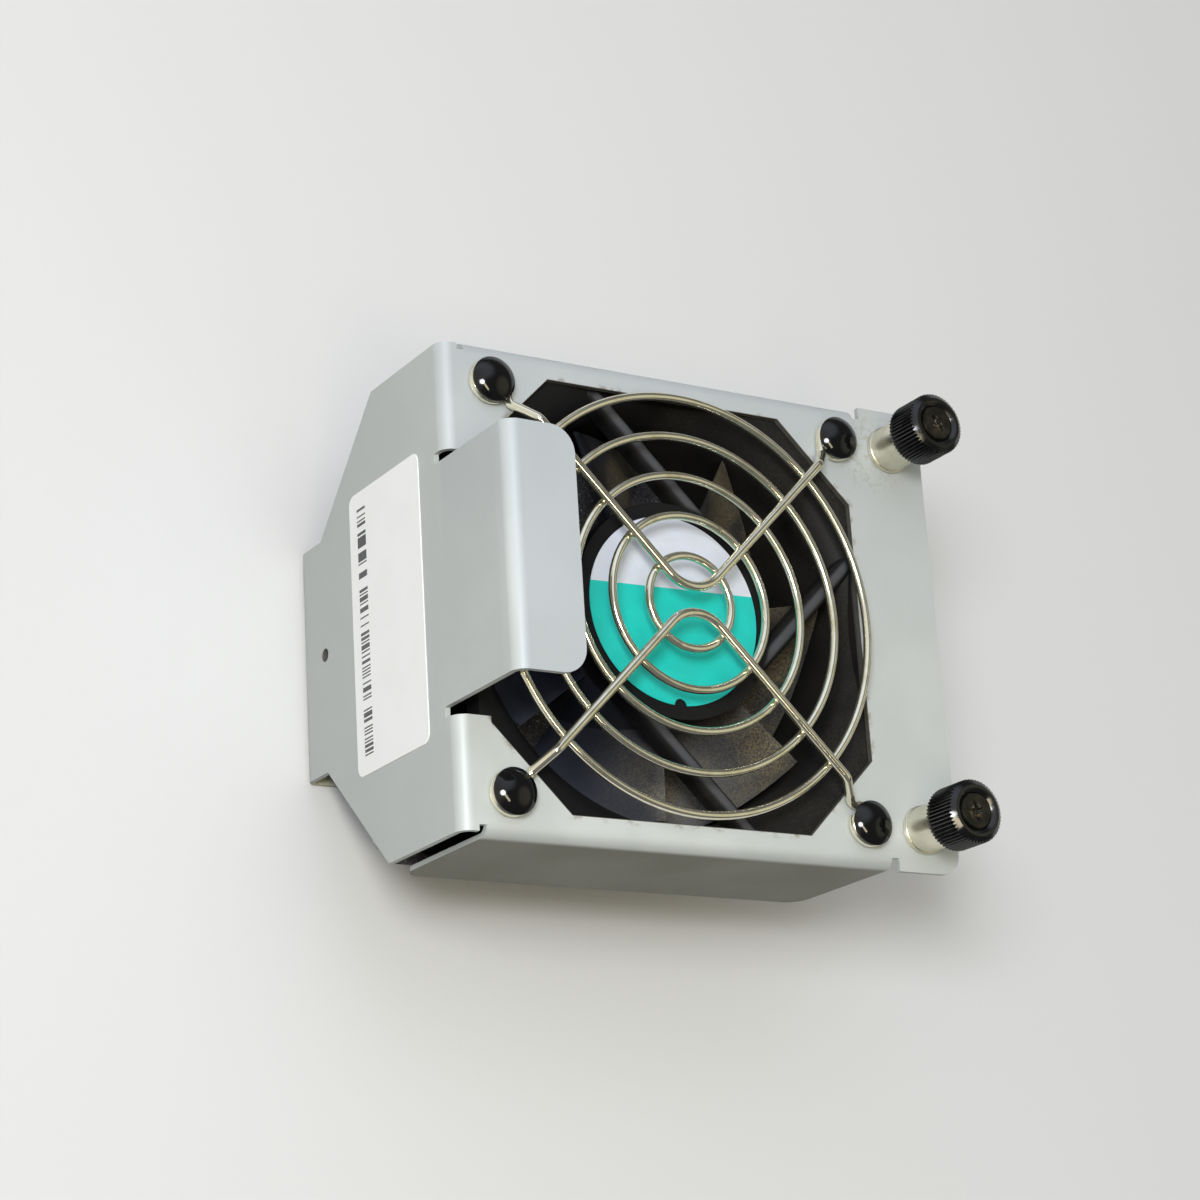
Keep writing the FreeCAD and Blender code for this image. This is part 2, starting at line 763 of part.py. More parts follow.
def make_stator():
    # Laminated core: four poles along X and Y, with the winding windows between them
    core = make_body("stator_core", x=fan_x)
    disc = make_sketch(core, "XY_Plane", lift=core_top)
    circle(disc, core_radius * 2)
    circle(disc, tube_radius * 2)
    pad(core, disc, S.core_height, reverse=True)
    window = make_sketch(core, "XY_Plane", lift=core_top, turn=45)
    flank = S.pole_width * math.sqrt(0.5)
    far = (flank + root(shoe_inside * shoe_inside * 2 - flank * flank)) / 2
    mouth = S.slot_mouth / 2
    past = core_radius + S.air_gap
    outline(window, [
        (core_ring, flank - core_ring), (far, flank - far), (shoe_inside, -mouth), (past, -mouth),
        (past, mouth), (shoe_inside, mouth), (far, far - flank), (core_ring, core_ring - flank)])
    first = pocket(core, window, S.core_height)
    repeat_round(core, [first], POLES)
    keep(core)

    # End insulators above and below the core
    pole_half = S.pole_width / 2 + S.insulator
    insulators = make_body("stator_insulators", x=fan_x)
    for level in (core_top, core_bottom - S.insulator):
        ring = make_sketch(insulators, "XY_Plane", lift=level)
        circle(ring, core_ring * 2)
        circle(ring, tube_radius * 2)
        pad(insulators, ring, S.insulator)
    arms = []
    for level in (core_top, core_bottom - S.insulator):
        arm = make_sketch(insulators, "XY_Plane", lift=level)
        rectangle(arm, tube_radius + S.core_ring / 2, -pole_half, shoe_inside, pole_half)
        arms.append(pad(insulators, arm, S.insulator))
    repeat_round(insulators, arms, POLES)
    keep(insulators)

    # Windings round the poles
    coils = make_body("stator_coils", x=fan_x)
    coil_start = core_ring + S.insulator
    coil_end = shoe_inside - S.coil_build
    wound = pole_half + S.coil_build
    section = make_sketch(coils, "YZ_Plane", lift=coil_start)
    low = core_bottom - S.insulator
    high = core_top + S.insulator
    rectangle(section, -wound, low - S.coil_build, wound, high + S.coil_build)
    rectangle(section, -pole_half, low, pole_half, high)
    first = pad(coils, section, coil_end - coil_start)
    repeat_round(coils, [first], POLES)
    keep(coils)


def make_board():
    board = make_body("drive_board", x=fan_x)
    sketch = make_sketch(board, "XY_Plane", lift=board_top)
    circle(sketch, S.board_diameter)
    circle(sketch, tube_radius * 2)
    pad(board, sketch, S.board_thickness, reverse=True)
    keep(board)

    # Driver chip, position sensor and two small capacitors on the board's underside
    parts = make_body("board_components", x=fan_x)
    chip = make_sketch(parts, "XY_Plane", lift=board_under)
    reach = S.board_diameter / 2
    for across, along, length, width in BOARD_PARTS:
        x = reach * across
        y = reach * along
        half_length = reach * length / 2
        half_width = reach * width / 2
        rectangle(chip, x - half_length, y - half_width, x + half_length, y + half_width)
    pad(parts, chip, S.chip_height, reverse=True)
    keep(parts)


def blade_section(body, lift):
    """One blade section: both edges lie on radii, so its width grows with the distance from the axis."""
    sketch = make_sketch(body, "YZ_Plane", lift=lift)
    reach = as_size(lift) * tangent(S.blade_sweep / 2)
    half = S.blade_thickness / 2
    top = hub_top - S.blade_inset
    bottom = S.blade_bottom_gap - S.fan_depth
    middle = (top + bottom) / 2
    near_front = (reach + half, top)
    near_back = (reach - half, top)
    far_front = (half - reach, bottom)
    far_back = (-reach - half, bottom)
    pieces = [
        bow(sketch, near_front, (S.blade_camber + half, middle), far_front),
        line(sketch, far_front, far_back),
        bow(sketch, far_back, (S.blade_camber - half, middle), near_back),
        line(sketch, near_back, near_front),
    ]
    join(sketch, pieces)
    return sketch


def make_impeller():
    body = make_body("impeller", x=fan_x)
    body.Placement.Rotation = FreeCAD.Rotation(FreeCAD.Vector(0, 0, 1), BLADE_PHASE)
    hub = make_sketch(body, "XY_Plane", lift=hub_top)
    circle(hub, S.hub_diameter)
    pad(body, hub, hub_top - hub_bottom, reverse=True)
    inner = blade_section(body, hub_radius / 2)
    outer = blade_section(body, duct_radius)
    blade = add_feature(body, "AdditiveLoft", inner, Sections=[outer], Ruled=True)
    doc.recompute()
    repeat_round(body, [blade], BLADES)

    # Tips trimmed to the duct, then the hub is hollowed round a boss for the shaft
    trim = make_sketch(body, "XY_Plane")
    circle(trim, tip_radius * 2)
    circle(trim, S.fan_size * 2)
    pocket(body, trim, S.fan_depth * 3, symmetric=True)
    hollow = make_sketch(body, "XY_Plane", lift=hub_floor)
    circle(hollow, yoke_radius * 2)
    pocket(body, hollow, S.fan_depth, reverse=True)
    boss = make_sketch(body, "XY_Plane", lift=hub_floor)
    circle(boss, S.boss_diameter)
    pad(body, boss, S.boss_height)
    bore = make_sketch(body, "XY_Plane", lift=hub_floor)
    circle(bore, S.shaft_diameter)
    pocket(body, bore, S.fan_depth, reverse=True)
    return keep(body)


def make_rotor_core():
    yoke = make_body("rotor_yoke", x=fan_x)
    cup = make_sketch(yoke, "XZ_Plane")
    boss = S.boss_diameter / 2
    yoke_floor = hub_floor + S.yoke_wall
    outline(cup, [
        (boss, hub_floor), (yoke_radius, hub_floor), (yoke_radius, hub_top), (magnet_radius, hub_top),
        (magnet_radius, yoke_floor), (boss, yoke_floor)])
    revolve(yoke, cup)
    keep(yoke)

    magnet = make_body("rotor_magnet", x=fan_x)
    ring = make_sketch(magnet, "XZ_Plane")
    middle = core_top - S.core_height / 2
    half = S.magnet_height / 2
    rectangle(ring, magnet_radius - S.magnet_wall, middle - half, magnet_radius, middle + half)
    revolve(magnet, ring)
    keep(magnet)

    # The shaft is turned with a groove for its clip above the upper bearing
    shaft = make_body("rotor_shaft", x=fan_x)
    profile = make_sketch(shaft, "XZ_Plane")
    groove = shaft_radius - S.clip_groove
    clip_top = upper_bearing + S.clip_thickness
    outline(profile, [
        (0, hub_floor), (shaft_radius, hub_floor), (shaft_radius, upper_bearing), (groove, upper_bearing),
        (groove, clip_top), (shaft_radius, clip_top), (shaft_radius, clip_top + S.clip_thickness),
        (0, clip_top + S.clip_thickness)])
    revolve(shaft, profile)
    keep(shaft)

    clip = make_body("shaft_clip", x=fan_x)
    washer = make_sketch(clip, "XY_Plane", lift=upper_bearing)
    circle(washer, S.clip_diameter)
    circle(washer, groove * 2)
    pad(clip, washer, S.clip_thickness)
    slit = make_sketch(clip, "XY_Plane", lift=upper_bearing)
    rectangle(slit, 0, -groove / 2, S.clip_diameter, groove / 2)
    pocket(clip, slit, S.clip_thickness, reverse=True)
    keep(clip)


def make_spring(label, x, y, bottom, top, diameter, wire, turns):
    """A coil spring that stands between two seats."""
    body = make_body(label, x=x, y=y)
    section = make_sketch(body, "XZ_Plane")
    circle(section, wire, diameter / 2, bottom + wire / 2)
    coil = body.newObject("PartDesign::AdditiveHelix", f"{body.Name}_coil")
    coil.Profile = section
    coil.ReferenceAxis = (section, ["V_Axis"])
    coil.Mode = "height-turns-growth"
    bind(coil, Height=top - bottom - wire, Turns=turns)
    doc.recompute()
    return keep(body)


def rounded_path(points, radii):
    """Straight runs joined by tangent arcs; radii has one entry for each inner point."""
    edges = []
    last = points[0]
    for before, here, after, radius in zip(points, points[1:], points[2:], radii):
        towards = (before - here).normalize()
        onwards = (after - here).normalize()
        half_turn = towards.getAngle(onwards) / 2
        cut = radius / math.tan(half_turn)
        bisector = (towards + onwards).normalize()
        centre = here + bisector * (radius / math.sin(half_turn))
        start = here + towards * cut
        end = here + onwards * cut
        edges.append(Part.LineSegment(last, start).toShape())
        edges.append(Part.Arc(start, centre - bisector * radius, end).toShape())
        last = end
    edges.append(Part.LineSegment(last, points[-1]).toShape())
    return Part.Wire(edges)


ring_level = S.sheet + S.guard_height
spoke_level = ring_level + (S.ring_wire + S.spoke_wire) / 2 - S.weld_sink
eyelet_level = S.sheet + S.spoke_wire / 2


def make_guard():
    rings = make_body("guard_rings", x=fan_x)
    section = make_sketch(rings, "XZ_Plane")
    pitch = (opening_half - S.ring_margin - S.ring_first) / (GUARD_RINGS - 1)
    for number in range(GUARD_RINGS):
        circle(section, S.ring_wire, S.ring_first + pitch * number, ring_level)
    revolve(rings, section)
    keep(rings)

    for label, side in (("guard_wire_left", 1), ("guard_wire_right", -1)):
        apex = FreeCAD.Vector(0, -S.apex_overlap.value * side, spoke_level.value)
        rivets = [FreeCAD.Vector(rivet_place.value * end, rivet_place.value * side, 0) for end in (1, -1)]
        ends = []
        for rivet in rivets:
            inward = (apex - rivet)
            inward.z = 0
            inward.normalize()
            low = FreeCAD.Vector(0, 0, eyelet_level.value)
            high = FreeCAD.Vector(0, 0, spoke_level.value)
            foot = S.eyelet_radius.value
            ends.append([
                rivet + inward * foot + low,
                rivet + inward * (foot + S.step_lead.value) + low,
                rivet + inward * (foot + S.step_lead.value + S.step_run.value) + high])
        points = ends[0] + [apex] + ends[1][::-1]
        step = S.step_radius.value
        spine = doc.addObject("Part::Feature", f"{label}_path")
        spine.Shape = rounded_path(points, [step, step, S.apex_radius.value, step, step])
        profile = doc.addObject("Part::Circle", f"{label}_section")
        bind(profile, Radius=S.spoke_wire / 2)
        profile.Placement = FreeCAD.Placement(
            points[0], FreeCAD.Rotation(FreeCAD.Vector(0, 0, 1), points[1] - points[0]))
        leg_wire = doc.addObject("Part::Sweep", f"{label}_legs")
        leg_wire.Sections = [profile]
        leg_wire.Spine = (spine, [f"Edge{i + 1}" for i in range(len(spine.Shape.Edges))])
        leg_wire.Solid = True
        eyelets = []
        for number, rivet in enumerate(rivets):
            eyelet = doc.addObject("Part::Torus", f"{label}_eyelet_{number}")
            bind(eyelet, Radius1=S.eyelet_radius, Radius2=S.spoke_wire / 2)
            for axis, size in zip("xyz", (rivet_place * (1 - 2 * number), rivet_place * side, eyelet_level)):
                eyelet.setExpression(f"Placement.Base.{axis}", size.text)
            eyelets.append(eyelet)
        wire = doc.addObject("Part::MultiFuse", label)
        wire.Label = label
        wire.Shapes = [leg_wire] + eyelets
        wire.setExpression("Placement.Base.x", fan_x.text)
        doc.recompute()
        keep(wire)


def make_rivets():
    flange_low = S.sheet + S.spoke_wire
    flange_high = flange_low + S.rivet_flange
    barrel = S.fan_hole / 2 - S.rivet_play
    pin = S.rivet_pin / 2
    bore = pin + S.rivet_fit
    grip = -S.fan_flange
    toe = grip - S.rivet_toe
    sockets = make_body("rivet_sockets", x=fan_x)
    section = make_sketch(sockets, "XZ_Plane", x=rivet_place, lift=-rivet_place)
    flange = S.rivet_head / 2 - S.rivet_fit
    spread = (barrel + S.rivet_spread_width, grip - S.rivet_spread_width)
    outline(section, [
        (bore, flange_high), (flange, flange_high), (flange, flange_low), (barrel, flange_low),
        (barrel, grip), spread, (barrel, toe), (bore, toe)])
    first = revolve(sockets, section)
    repeat_round(sockets, [first], RIVETS)
    keep(sockets)

    # Each pin has a domed head and holds its socket spread
    pins = make_body("rivet_pins", x=fan_x)
    section = make_sketch(pins, "XZ_Plane", x=rivet_place, lift=-rivet_place)
    edge = S.rivet_head / 2
    dome = S.rivet_dome - S.rivet_rim
    curve = (edge * edge + dome * dome) / (dome * 2)
    rim = flange_high + S.rivet_rim
    crown = flange_high + S.rivet_dome
    shoulder = (edge / 2, crown - curve + leg(curve, edge / 2))
    pieces = [
        line(section, (0, toe), (pin, toe)),
        line(section, (pin, toe), (pin, flange_high)),
        line(section, (pin, flange_high), (edge, flange_high)),
        line(section, (edge, flange_high), (edge, rim)),
        bow(section, (edge, rim), shoulder, (0, crown)),
        line(section, (0, crown), (0, toe)),
    ]
    join(section, pieces)
    for index, spot in ((0, (0, toe)), (1, (pin, toe)), (2, (pin, flange_high)), (3, (edge, flange_high))):
        pin_point(section, pieces[index][0], START, *spot)
    first = revolve(pins, section)
    repeat_round(pins, [first], RIVETS)
    keep(pins)


collar_top = S.sheet + S.collar_height
knob_low = S.sheet + S.knob_rise
knob_top = knob_low + S.knob_height
knob_floor = knob_top - S.knob_recess_depth
cavity_top = knob_low + S.knob_cavity


def make_thumbscrew(side, y):
    neck = S.screw_neck / 2
    collar = make_body(f"{side}_collar", y=y)
    section = make_sketch(collar, "XZ_Plane")
    hole = neck + S.screw_clearance
    body_edge = S.collar_diameter / 2
    base_edge = S.collar_base / 2
    base_high = S.sheet + S.collar_base_height
    shank = S.collar_shank / 2
    outline(section, [
        (hole, 0), (shank, 0), (shank, S.sheet), (base_edge, S.sheet), (base_edge, base_high),
        (body_edge, base_high), (body_edge, collar_top), (S.collar_bore / 2, collar_top),
        (S.collar_bore / 2, S.collar_floor), (hole, S.collar_floor)])
    revolve(collar, section)
    keep(collar)

    # The wide threaded end below the plate keeps the screw from leaving its collar
    screw = make_body(f"{side}_screw", y=y)
    section = make_sketch(screw, "XZ_Plane")
    thread = S.screw_diameter / 2
    head = S.knob_recess / 2 - S.screw_clearance
    head_top = knob_floor + S.screw_head
    outline(section, [
        (0, -S.screw_tip), (thread - S.screw_chamfer, -S.screw_tip), (thread, S.screw_chamfer - S.screw_tip),
        (thread, -S.screw_clearance), (neck, -S.screw_clearance), (neck, knob_floor), (head, knob_floor),
        (head, head_top), (0, head_top)])
    revolve(screw, section)
    keep(screw)

    knob = make_body(f"{side}_knob", y=y)
    section = make_sketch(knob, "XZ_Plane")
    grip = S.knob_diameter / 2
    cavity = body_edge + S.knob_clearance
    outline(section, [
        (cavity, knob_low), (grip, knob_low), (grip, knob_top - S.knob_band), (S.knob_ring / 2, knob_top),
        (S.knob_recess / 2, knob_top), (S.knob_recess / 2, knob_floor), (neck, knob_floor),
        (neck, cavity_top), (cavity, cavity_top)])
    revolve(knob, section)
    keep(knob)

    make_spring(f"{side}_spring", 0, y, S.collar_floor, cavity_top,
                S.spring_diameter, S.spring_wire, SPRING_TURNS)


make_bracket()
make_sticker()
make_fan_frame()
make_motor_label()
make_bearing_tube()
make_bearings()
make_stator()
make_board()
make_impeller()
make_rotor_core()
make_spring("preload_spring", fan_x, 0, boss_top, lower_bearing - S.bearing_width,
            S.preload_diameter, S.preload_wire, PRELOAD_TURNS)
make_guard()
make_rivets()
make_thumbscrew("left", screw_place)
make_thumbscrew("right", -screw_place)

failed = [item.Name for item in doc.Objects if "Invalid" in item.State or "Error" in item.State]
if failed:
    raise ValueError(f"failed objects: {failed}")
for item in PARTS:
    if item.Shape.isNull() or not item.Shape.isValid():
        raise ValueError(f"{item.Label}: no valid shape")

os.makedirs("parts", exist_ok=True)
for item in PARTS:
    item.Shape.exportStep(f"parts/{item.Label}.step")
    print(item.Label, len(item.Shape.Solids), round(item.Shape.Volume, 1))
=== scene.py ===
import json
import math

import bmesh
import bpy
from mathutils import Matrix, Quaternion, Vector


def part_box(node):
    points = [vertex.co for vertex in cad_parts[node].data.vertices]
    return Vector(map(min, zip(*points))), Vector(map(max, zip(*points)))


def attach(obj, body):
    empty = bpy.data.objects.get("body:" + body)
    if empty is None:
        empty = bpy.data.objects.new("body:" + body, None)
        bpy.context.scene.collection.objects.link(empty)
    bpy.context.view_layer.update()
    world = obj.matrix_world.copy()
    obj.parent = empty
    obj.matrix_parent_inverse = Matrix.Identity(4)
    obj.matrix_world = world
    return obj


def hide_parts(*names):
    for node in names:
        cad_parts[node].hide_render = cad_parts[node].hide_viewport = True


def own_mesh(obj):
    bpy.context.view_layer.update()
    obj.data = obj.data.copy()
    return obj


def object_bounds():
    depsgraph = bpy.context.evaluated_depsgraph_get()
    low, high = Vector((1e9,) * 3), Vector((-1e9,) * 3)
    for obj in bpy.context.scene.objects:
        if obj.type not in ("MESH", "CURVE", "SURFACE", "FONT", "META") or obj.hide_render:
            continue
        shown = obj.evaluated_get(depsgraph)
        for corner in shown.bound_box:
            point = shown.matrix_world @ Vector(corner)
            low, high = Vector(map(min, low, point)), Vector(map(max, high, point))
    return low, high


# Fan tray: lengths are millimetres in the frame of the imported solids, apart from lamps and camera

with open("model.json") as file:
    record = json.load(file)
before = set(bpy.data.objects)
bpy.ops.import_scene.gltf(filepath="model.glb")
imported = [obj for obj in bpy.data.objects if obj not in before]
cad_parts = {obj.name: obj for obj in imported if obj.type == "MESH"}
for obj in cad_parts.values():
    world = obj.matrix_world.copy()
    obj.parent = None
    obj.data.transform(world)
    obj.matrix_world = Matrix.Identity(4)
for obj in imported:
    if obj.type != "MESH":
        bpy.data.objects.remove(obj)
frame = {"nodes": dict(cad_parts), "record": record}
cad_low, cad_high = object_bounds()
NODES = frame["nodes"]
MM = 0.001


def box_of(node):
    """The lowest and highest corner of a CAD node."""
    low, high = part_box(node)
    return low / MM, high / MM


# Sizes read from the frame

rings_low, rings_high = box_of("guard_rings")
wire_low, wire_high = box_of("guard_wire_left")
pins_low, pins_high = box_of("rivet_pins")
hub_low, hub_high = box_of("impeller")
film_low, film_high = box_of("motor_label")
knob_low, knob_high = box_of("left_knob")
screw_low, screw_high = box_of("left_screw")
collar_low, collar_high = box_of("left_collar")
coil_low, coil_high = box_of("left_spring")
BOTTOM_Z = cad_low.z / MM
TAB_TOP = cad_high.z / MM
REAR_X = box_of("tray_bracket")[0].x
FAN_BOTTOM = box_of("fan_frame")[0].z
FAN_X = (rings_low.x + rings_high.x) / 2
RING_WIRE = (rings_high.z - rings_low.z) / 2
RING_Z = (rings_high.z + rings_low.z) / 2
RING_LAST = (rings_high.y - rings_low.y) / 2 - RING_WIRE
RIVET_UNDER = box_of("rivet_sockets")[1].z
SCREW_Y = (knob_low.y + knob_high.y) / 2

# Sizes of the pieces that the boxes don't give

SHEET = 1.0
SIDE_FACE = 43.0
OPENING_HALF = 38.3
OPENING_CUT = 14.4
LATCH_Z = -45.0
LATCH_R = 1.15
MOTOR_BASE = 19.5
STRUT_TOP = -0.9
RIVET_HEAD = 4.0
RIVET_OFFSET = pins_high.x - FAN_X - RIVET_HEAD

# Mesh helpers

ON_AXIS = 1e-6
MERGE_GAP = 0.0005
CAD_MERGE_GAP = 0.002
FLAT_ANGLE = math.radians(0.4)
CRISP_ANGLE = math.radians(32)
DRESSED_SHARP = 40
FLAT_WEIGHT = 90


def round_corners(points, radii, steps):
    """Straight runs joined by tangent arcs; radii has one entry for each inner point."""
    made = [points[0]]
    for before, here, after, radius in zip(points, points[1:], points[2:], radii):
        if radius <= 0:
            made.append(here)
            continue
        towards = (before - here).normalized()
        onwards = (after - here).normalized()
        half = towards.angle(onwards) / 2
        centre = here + (towards + onwards).normalized() * (radius / math.sin(half))
        first = here + towards * (radius / math.tan(half)) - centre
        axis = first.cross(here - centre).normalized()
        sweep = math.pi - 2 * half
        for i in range(steps + 1):
            made.append(centre + Quaternion(axis, sweep * i / steps) @ first)
    made.append(points[-1])
    return made


def profile(corners, steps=5):
    """A lathe outline; each corner is a radius, a height and, where it is rounded, its rounding."""
    points = [Vector((corner[0], 0, corner[1])) for corner in corners]
    rounding = [corner[2] if len(corner) > 2 else 0 for corner in corners[1:-1]]
    return [(p.x, p.z) for p in round_corners(points, rounding, steps)]


def lathe(outline, x, y, segments, closed=False, shape=None):
    """Turns an outline about the upright at x, y; shape(radius, height, angle) may move each point."""
    verts = []
    rows = []
    for r, z in outline:
        if r < ON_AXIS:
            rows.append([len(verts)] * segments)
            verts.append((x, y, z))
            continue
        rows.append(list(range(len(verts), len(verts) + segments)))
        for i in range(segments):
            angle = 2 * math.pi * i / segments
            radius, height = shape(r, z, angle) if shape else (r, z)
            verts.append((x + radius * math.cos(angle), y + radius * math.sin(angle), height))
    pairs = list(zip(rows, rows[1:]))
    if closed:
        pairs.append((rows[-1], rows[0]))
    faces = []
    for low, high in pairs:
        for i in range(segments):
            j = (i + 1) % segments
            corners = [low[i], low[j], high[j], high[i]]
            corners = [c for k, c in enumerate(corners) if c != corners[k - 1]]
            if len(corners) > 2:
                faces.append(corners)
    return verts, faces


def tube(path, radius, sides, closed=False, swell=None):
    """A round wire along points; swell gives the share of its radius at each point."""
    count = len(path)
    ahead = path[1:] + [path[0] if closed else path[-1]]
    behind = [path[-1] if closed else path[0]] + path[:-1]
    tangents = [(a - b).normalized() for a, b in zip(ahead, behind)]
    side = tangents[0].orthogonal().normalized()
    verts = []
    for i, spot in enumerate(path):
        if i:
            side = tangents[i - 1].rotation_difference(tangents[i]) @ side
        up = tangents[i].cross(side)
        r = radius * (swell[i] if swell else 1.0)
        for k in range(sides):
            angle = 2 * math.pi * k / sides
            verts.append(tuple(spot + side * (r * math.cos(angle)) + up * (r * math.sin(angle))))
    faces = []
    for i in range(count if closed else count - 1):
        a = i * sides
        b = (i + 1) % count * sides
        for k in range(sides):
            n = (k + 1) % sides
            faces.append([a + k, a + n, b + n, b + k])
    if not closed:
        faces.append(list(range(sides))[::-1])
        faces.append(list(range((count - 1) * sides, count * sides)))
    return verts, faces


def joined(*shapes):
    """Several shapes as one."""
    verts = []
    faces = []
    for more_verts, more_faces in shapes:
        base = len(verts)
        verts += more_verts
        faces += [[base + i for i in face] for face in more_faces]
    return verts, faces


def finished(bm, name, sharp):
    """A mesh with smooth faces that stays sharp where faces meet at more than the given degrees."""
    bmesh.ops.recalc_face_normals(bm, faces=bm.faces)
    mesh = bpy.data.meshes.new(name)
    bm.to_mesh(mesh)
    bm.free()
    if "custom_normal" in mesh.attributes:
        mesh.attributes.remove(mesh.attributes["custom_normal"])
    mesh.polygons.foreach_set("use_smooth", [True] * len(mesh.polygons))
    mesh.set_sharp_from_angle(angle=math.radians(sharp))
    return mesh


def add_object(name, data):
    """A new object in the scene."""
    obj = bpy.data.objects.new(name, data)
    bpy.context.scene.collection.objects.link(obj)
    return obj


def place(name, mesh, look, body, replaces):
    """Puts a mesh in the scene as a piece that rides on a body."""
    mesh.materials.clear()
    mesh.materials.append(look)
    obj = add_object(name, mesh)
    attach(obj, body)
    if replaces:
        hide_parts(replaces)
    return obj


def piece(name, shape, look, body, replaces=None, sharp=35):
    """A new piece that rides on a body and, where one is named, stands in for a CAD node."""
    verts, faces = shape
    bm = bmesh.new()
    made = [bm.verts.new(Vector(v) * MM) for v in verts]
    for face in faces:
        bm.faces.new([made[i] for i in face])
    bmesh.ops.remove_doubles(bm, verts=bm.verts, dist=MERGE_GAP * MM)
    return place(name, finished(bm, name, sharp), look, body, replaces)


def dressed(node, name, look, body, edge, segments=2):
    """A CAD node's shape with its sharp edges eased by a small round."""
    bm = bmesh.new()
    bm.from_mesh(NODES[node].data)
    bmesh.ops.remove_doubles(bm, verts=bm.verts, dist=CAD_MERGE_GAP * MM)
    bmesh.ops.dissolve_limit(bm, angle_limit=FLAT_ANGLE, verts=bm.verts, edges=bm.edges)
    shared = [e for e in bm.edges if len(e.link_faces) == 2]
    crisp = [e for e in shared if e.calc_face_angle() > CRISP_ANGLE]
    bmesh.ops.bevel(bm, geom=crisp, offset=edge * MM, segments=segments, profile=0.5,
                    affect="EDGES", clamp_overlap=True)
    obj = place(name, finished(bm, name, DRESSED_SHARP), look, body, node)
    flat = obj.modifiers.new("flat_faces", "WEIGHTED_NORMAL")
    flat.weight = FLAT_WEIGHT
    flat.keep_sharp = True
    return obj


# Node graphs

MIX_FACTOR = 0
MIX_UNDER = 6
MIX_OVER = 7
MIX_RESULT = 2


class Graph:
    """Short forms for the nodes of one tree; what feeds a node is a number, a colour or a socket."""

    def __init__(self, tree):
        self.nodes = tree.nodes
        self.links = tree.links

    def feed(self, socket, value):
        if isinstance(value, bpy.types.NodeSocket):
            self.links.new(value, socket)
        else:
            socket.default_value = value

    def math(self, operation, a, b=0.0):
        node = self.nodes.new("ShaderNodeMath")
        node.operation = operation
        self.feed(node.inputs[0], a)
        self.feed(node.inputs[1], b)
        return node.outputs[0]

    def times(self, *values):
        product = values[0]
        for value in values[1:]:
            product = self.math("MULTIPLY", product, value)
        return product

    def length(self, a, b):
        """Length of a step that goes a one way and b at a right angle to it."""
        return self.math("SQRT", self.math("ADD", self.times(a, a), self.times(b, b)))

    def fade(self, value, low, high, to_low=0.0, to_high=1.0):
        """Runs smoothly from to_low at low to to_high at high."""
        node = self.nodes.new("ShaderNodeMapRange")
        node.interpolation_type = "SMOOTHSTEP"
        limits = {"From Min": low, "From Max": high, "To Min": to_low, "To Max": to_high}
        for name, number in limits.items():
            node.inputs[name].default_value = number
        self.feed(node.inputs["Value"], value)
        return node.outputs[0]

    def mix(self, factor, under, over):
        node = self.nodes.new("ShaderNodeMix")
        node.data_type = "RGBA"
        self.feed(node.inputs[MIX_FACTOR], factor)
        for index, value in ((MIX_UNDER, under), (MIX_OVER, over)):
            self.feed(node.inputs[index], (*value, 1) if isinstance(value, tuple) else value)
        return node.outputs[MIX_RESULT]

    def stain(self, under, over, *shares):
        """Lays a colour over another, as strongly as the product of the shares."""
        return self.mix(self.times(*shares), under, over)


class Look(Graph):
    """A node material round one shader; its coordinates are millimetres in the part's frame."""

    def __init__(self, name, **sockets):
        self.material = bpy.data.materials.new(name)
        self.material.use_nodes = True
        super().__init__(self.material.node_tree)
        self.shader = self.nodes["Principled BSDF"]
        for socket, value in sockets.items():
            self.shader.inputs[socket.replace("_", " ")].default_value = value
        coords = self.nodes.new("ShaderNodeTexCoord")
        scale = self.nodes.new("ShaderNodeVectorMath")
        scale.operation = "SCALE"
        scale.inputs["Scale"].default_value = 1 / MM
        self.links.new(coords.outputs["Object"], scale.inputs[0])
        self.place = scale.outputs[0]
        split = self.nodes.new("ShaderNodeSeparateXYZ")
        self.links.new(self.place, split.inputs[0])
        self.x, self.y, self.z = split.outputs

    def noise(self, scale, detail=3.0, roughness=0.55, shift=0.0):
        move = self.nodes.new("ShaderNodeMapping")
        move.inputs["Location"].default_value = (shift, shift, shift)
        self.links.new(self.place, move.inputs["Vector"])
        node = self.nodes.new("ShaderNodeTexNoise")
        node.inputs["Scale"].default_value = scale
        node.inputs["Detail"].default_value = detail
        node.inputs["Roughness"].default_value = roughness
        self.links.new(move.outputs[0], node.inputs["Vector"])
        return node.outputs["Fac"]

    def reach(self, x, y):
        """Distance from an upright at x, y."""
        return self.length(self.math("SUBTRACT", self.x, x), self.math("SUBTRACT", self.y, y))

    def colour(self, value):
        self.feed(self.shader.inputs["Base Color"], value)

    def rough(self, value):
        self.feed(self.shader.inputs["Roughness"], value)

    def bump(self, height, strength, depth):
        node = self.nodes.new("ShaderNodeBump")
        node.inputs["Strength"].default_value = strength
        node.inputs["Distance"].default_value = depth * MM
        self.feed(node.inputs["Height"], height)
        self.links.new(node.outputs[0], self.shader.inputs["Normal"])


# Materials of the bracket


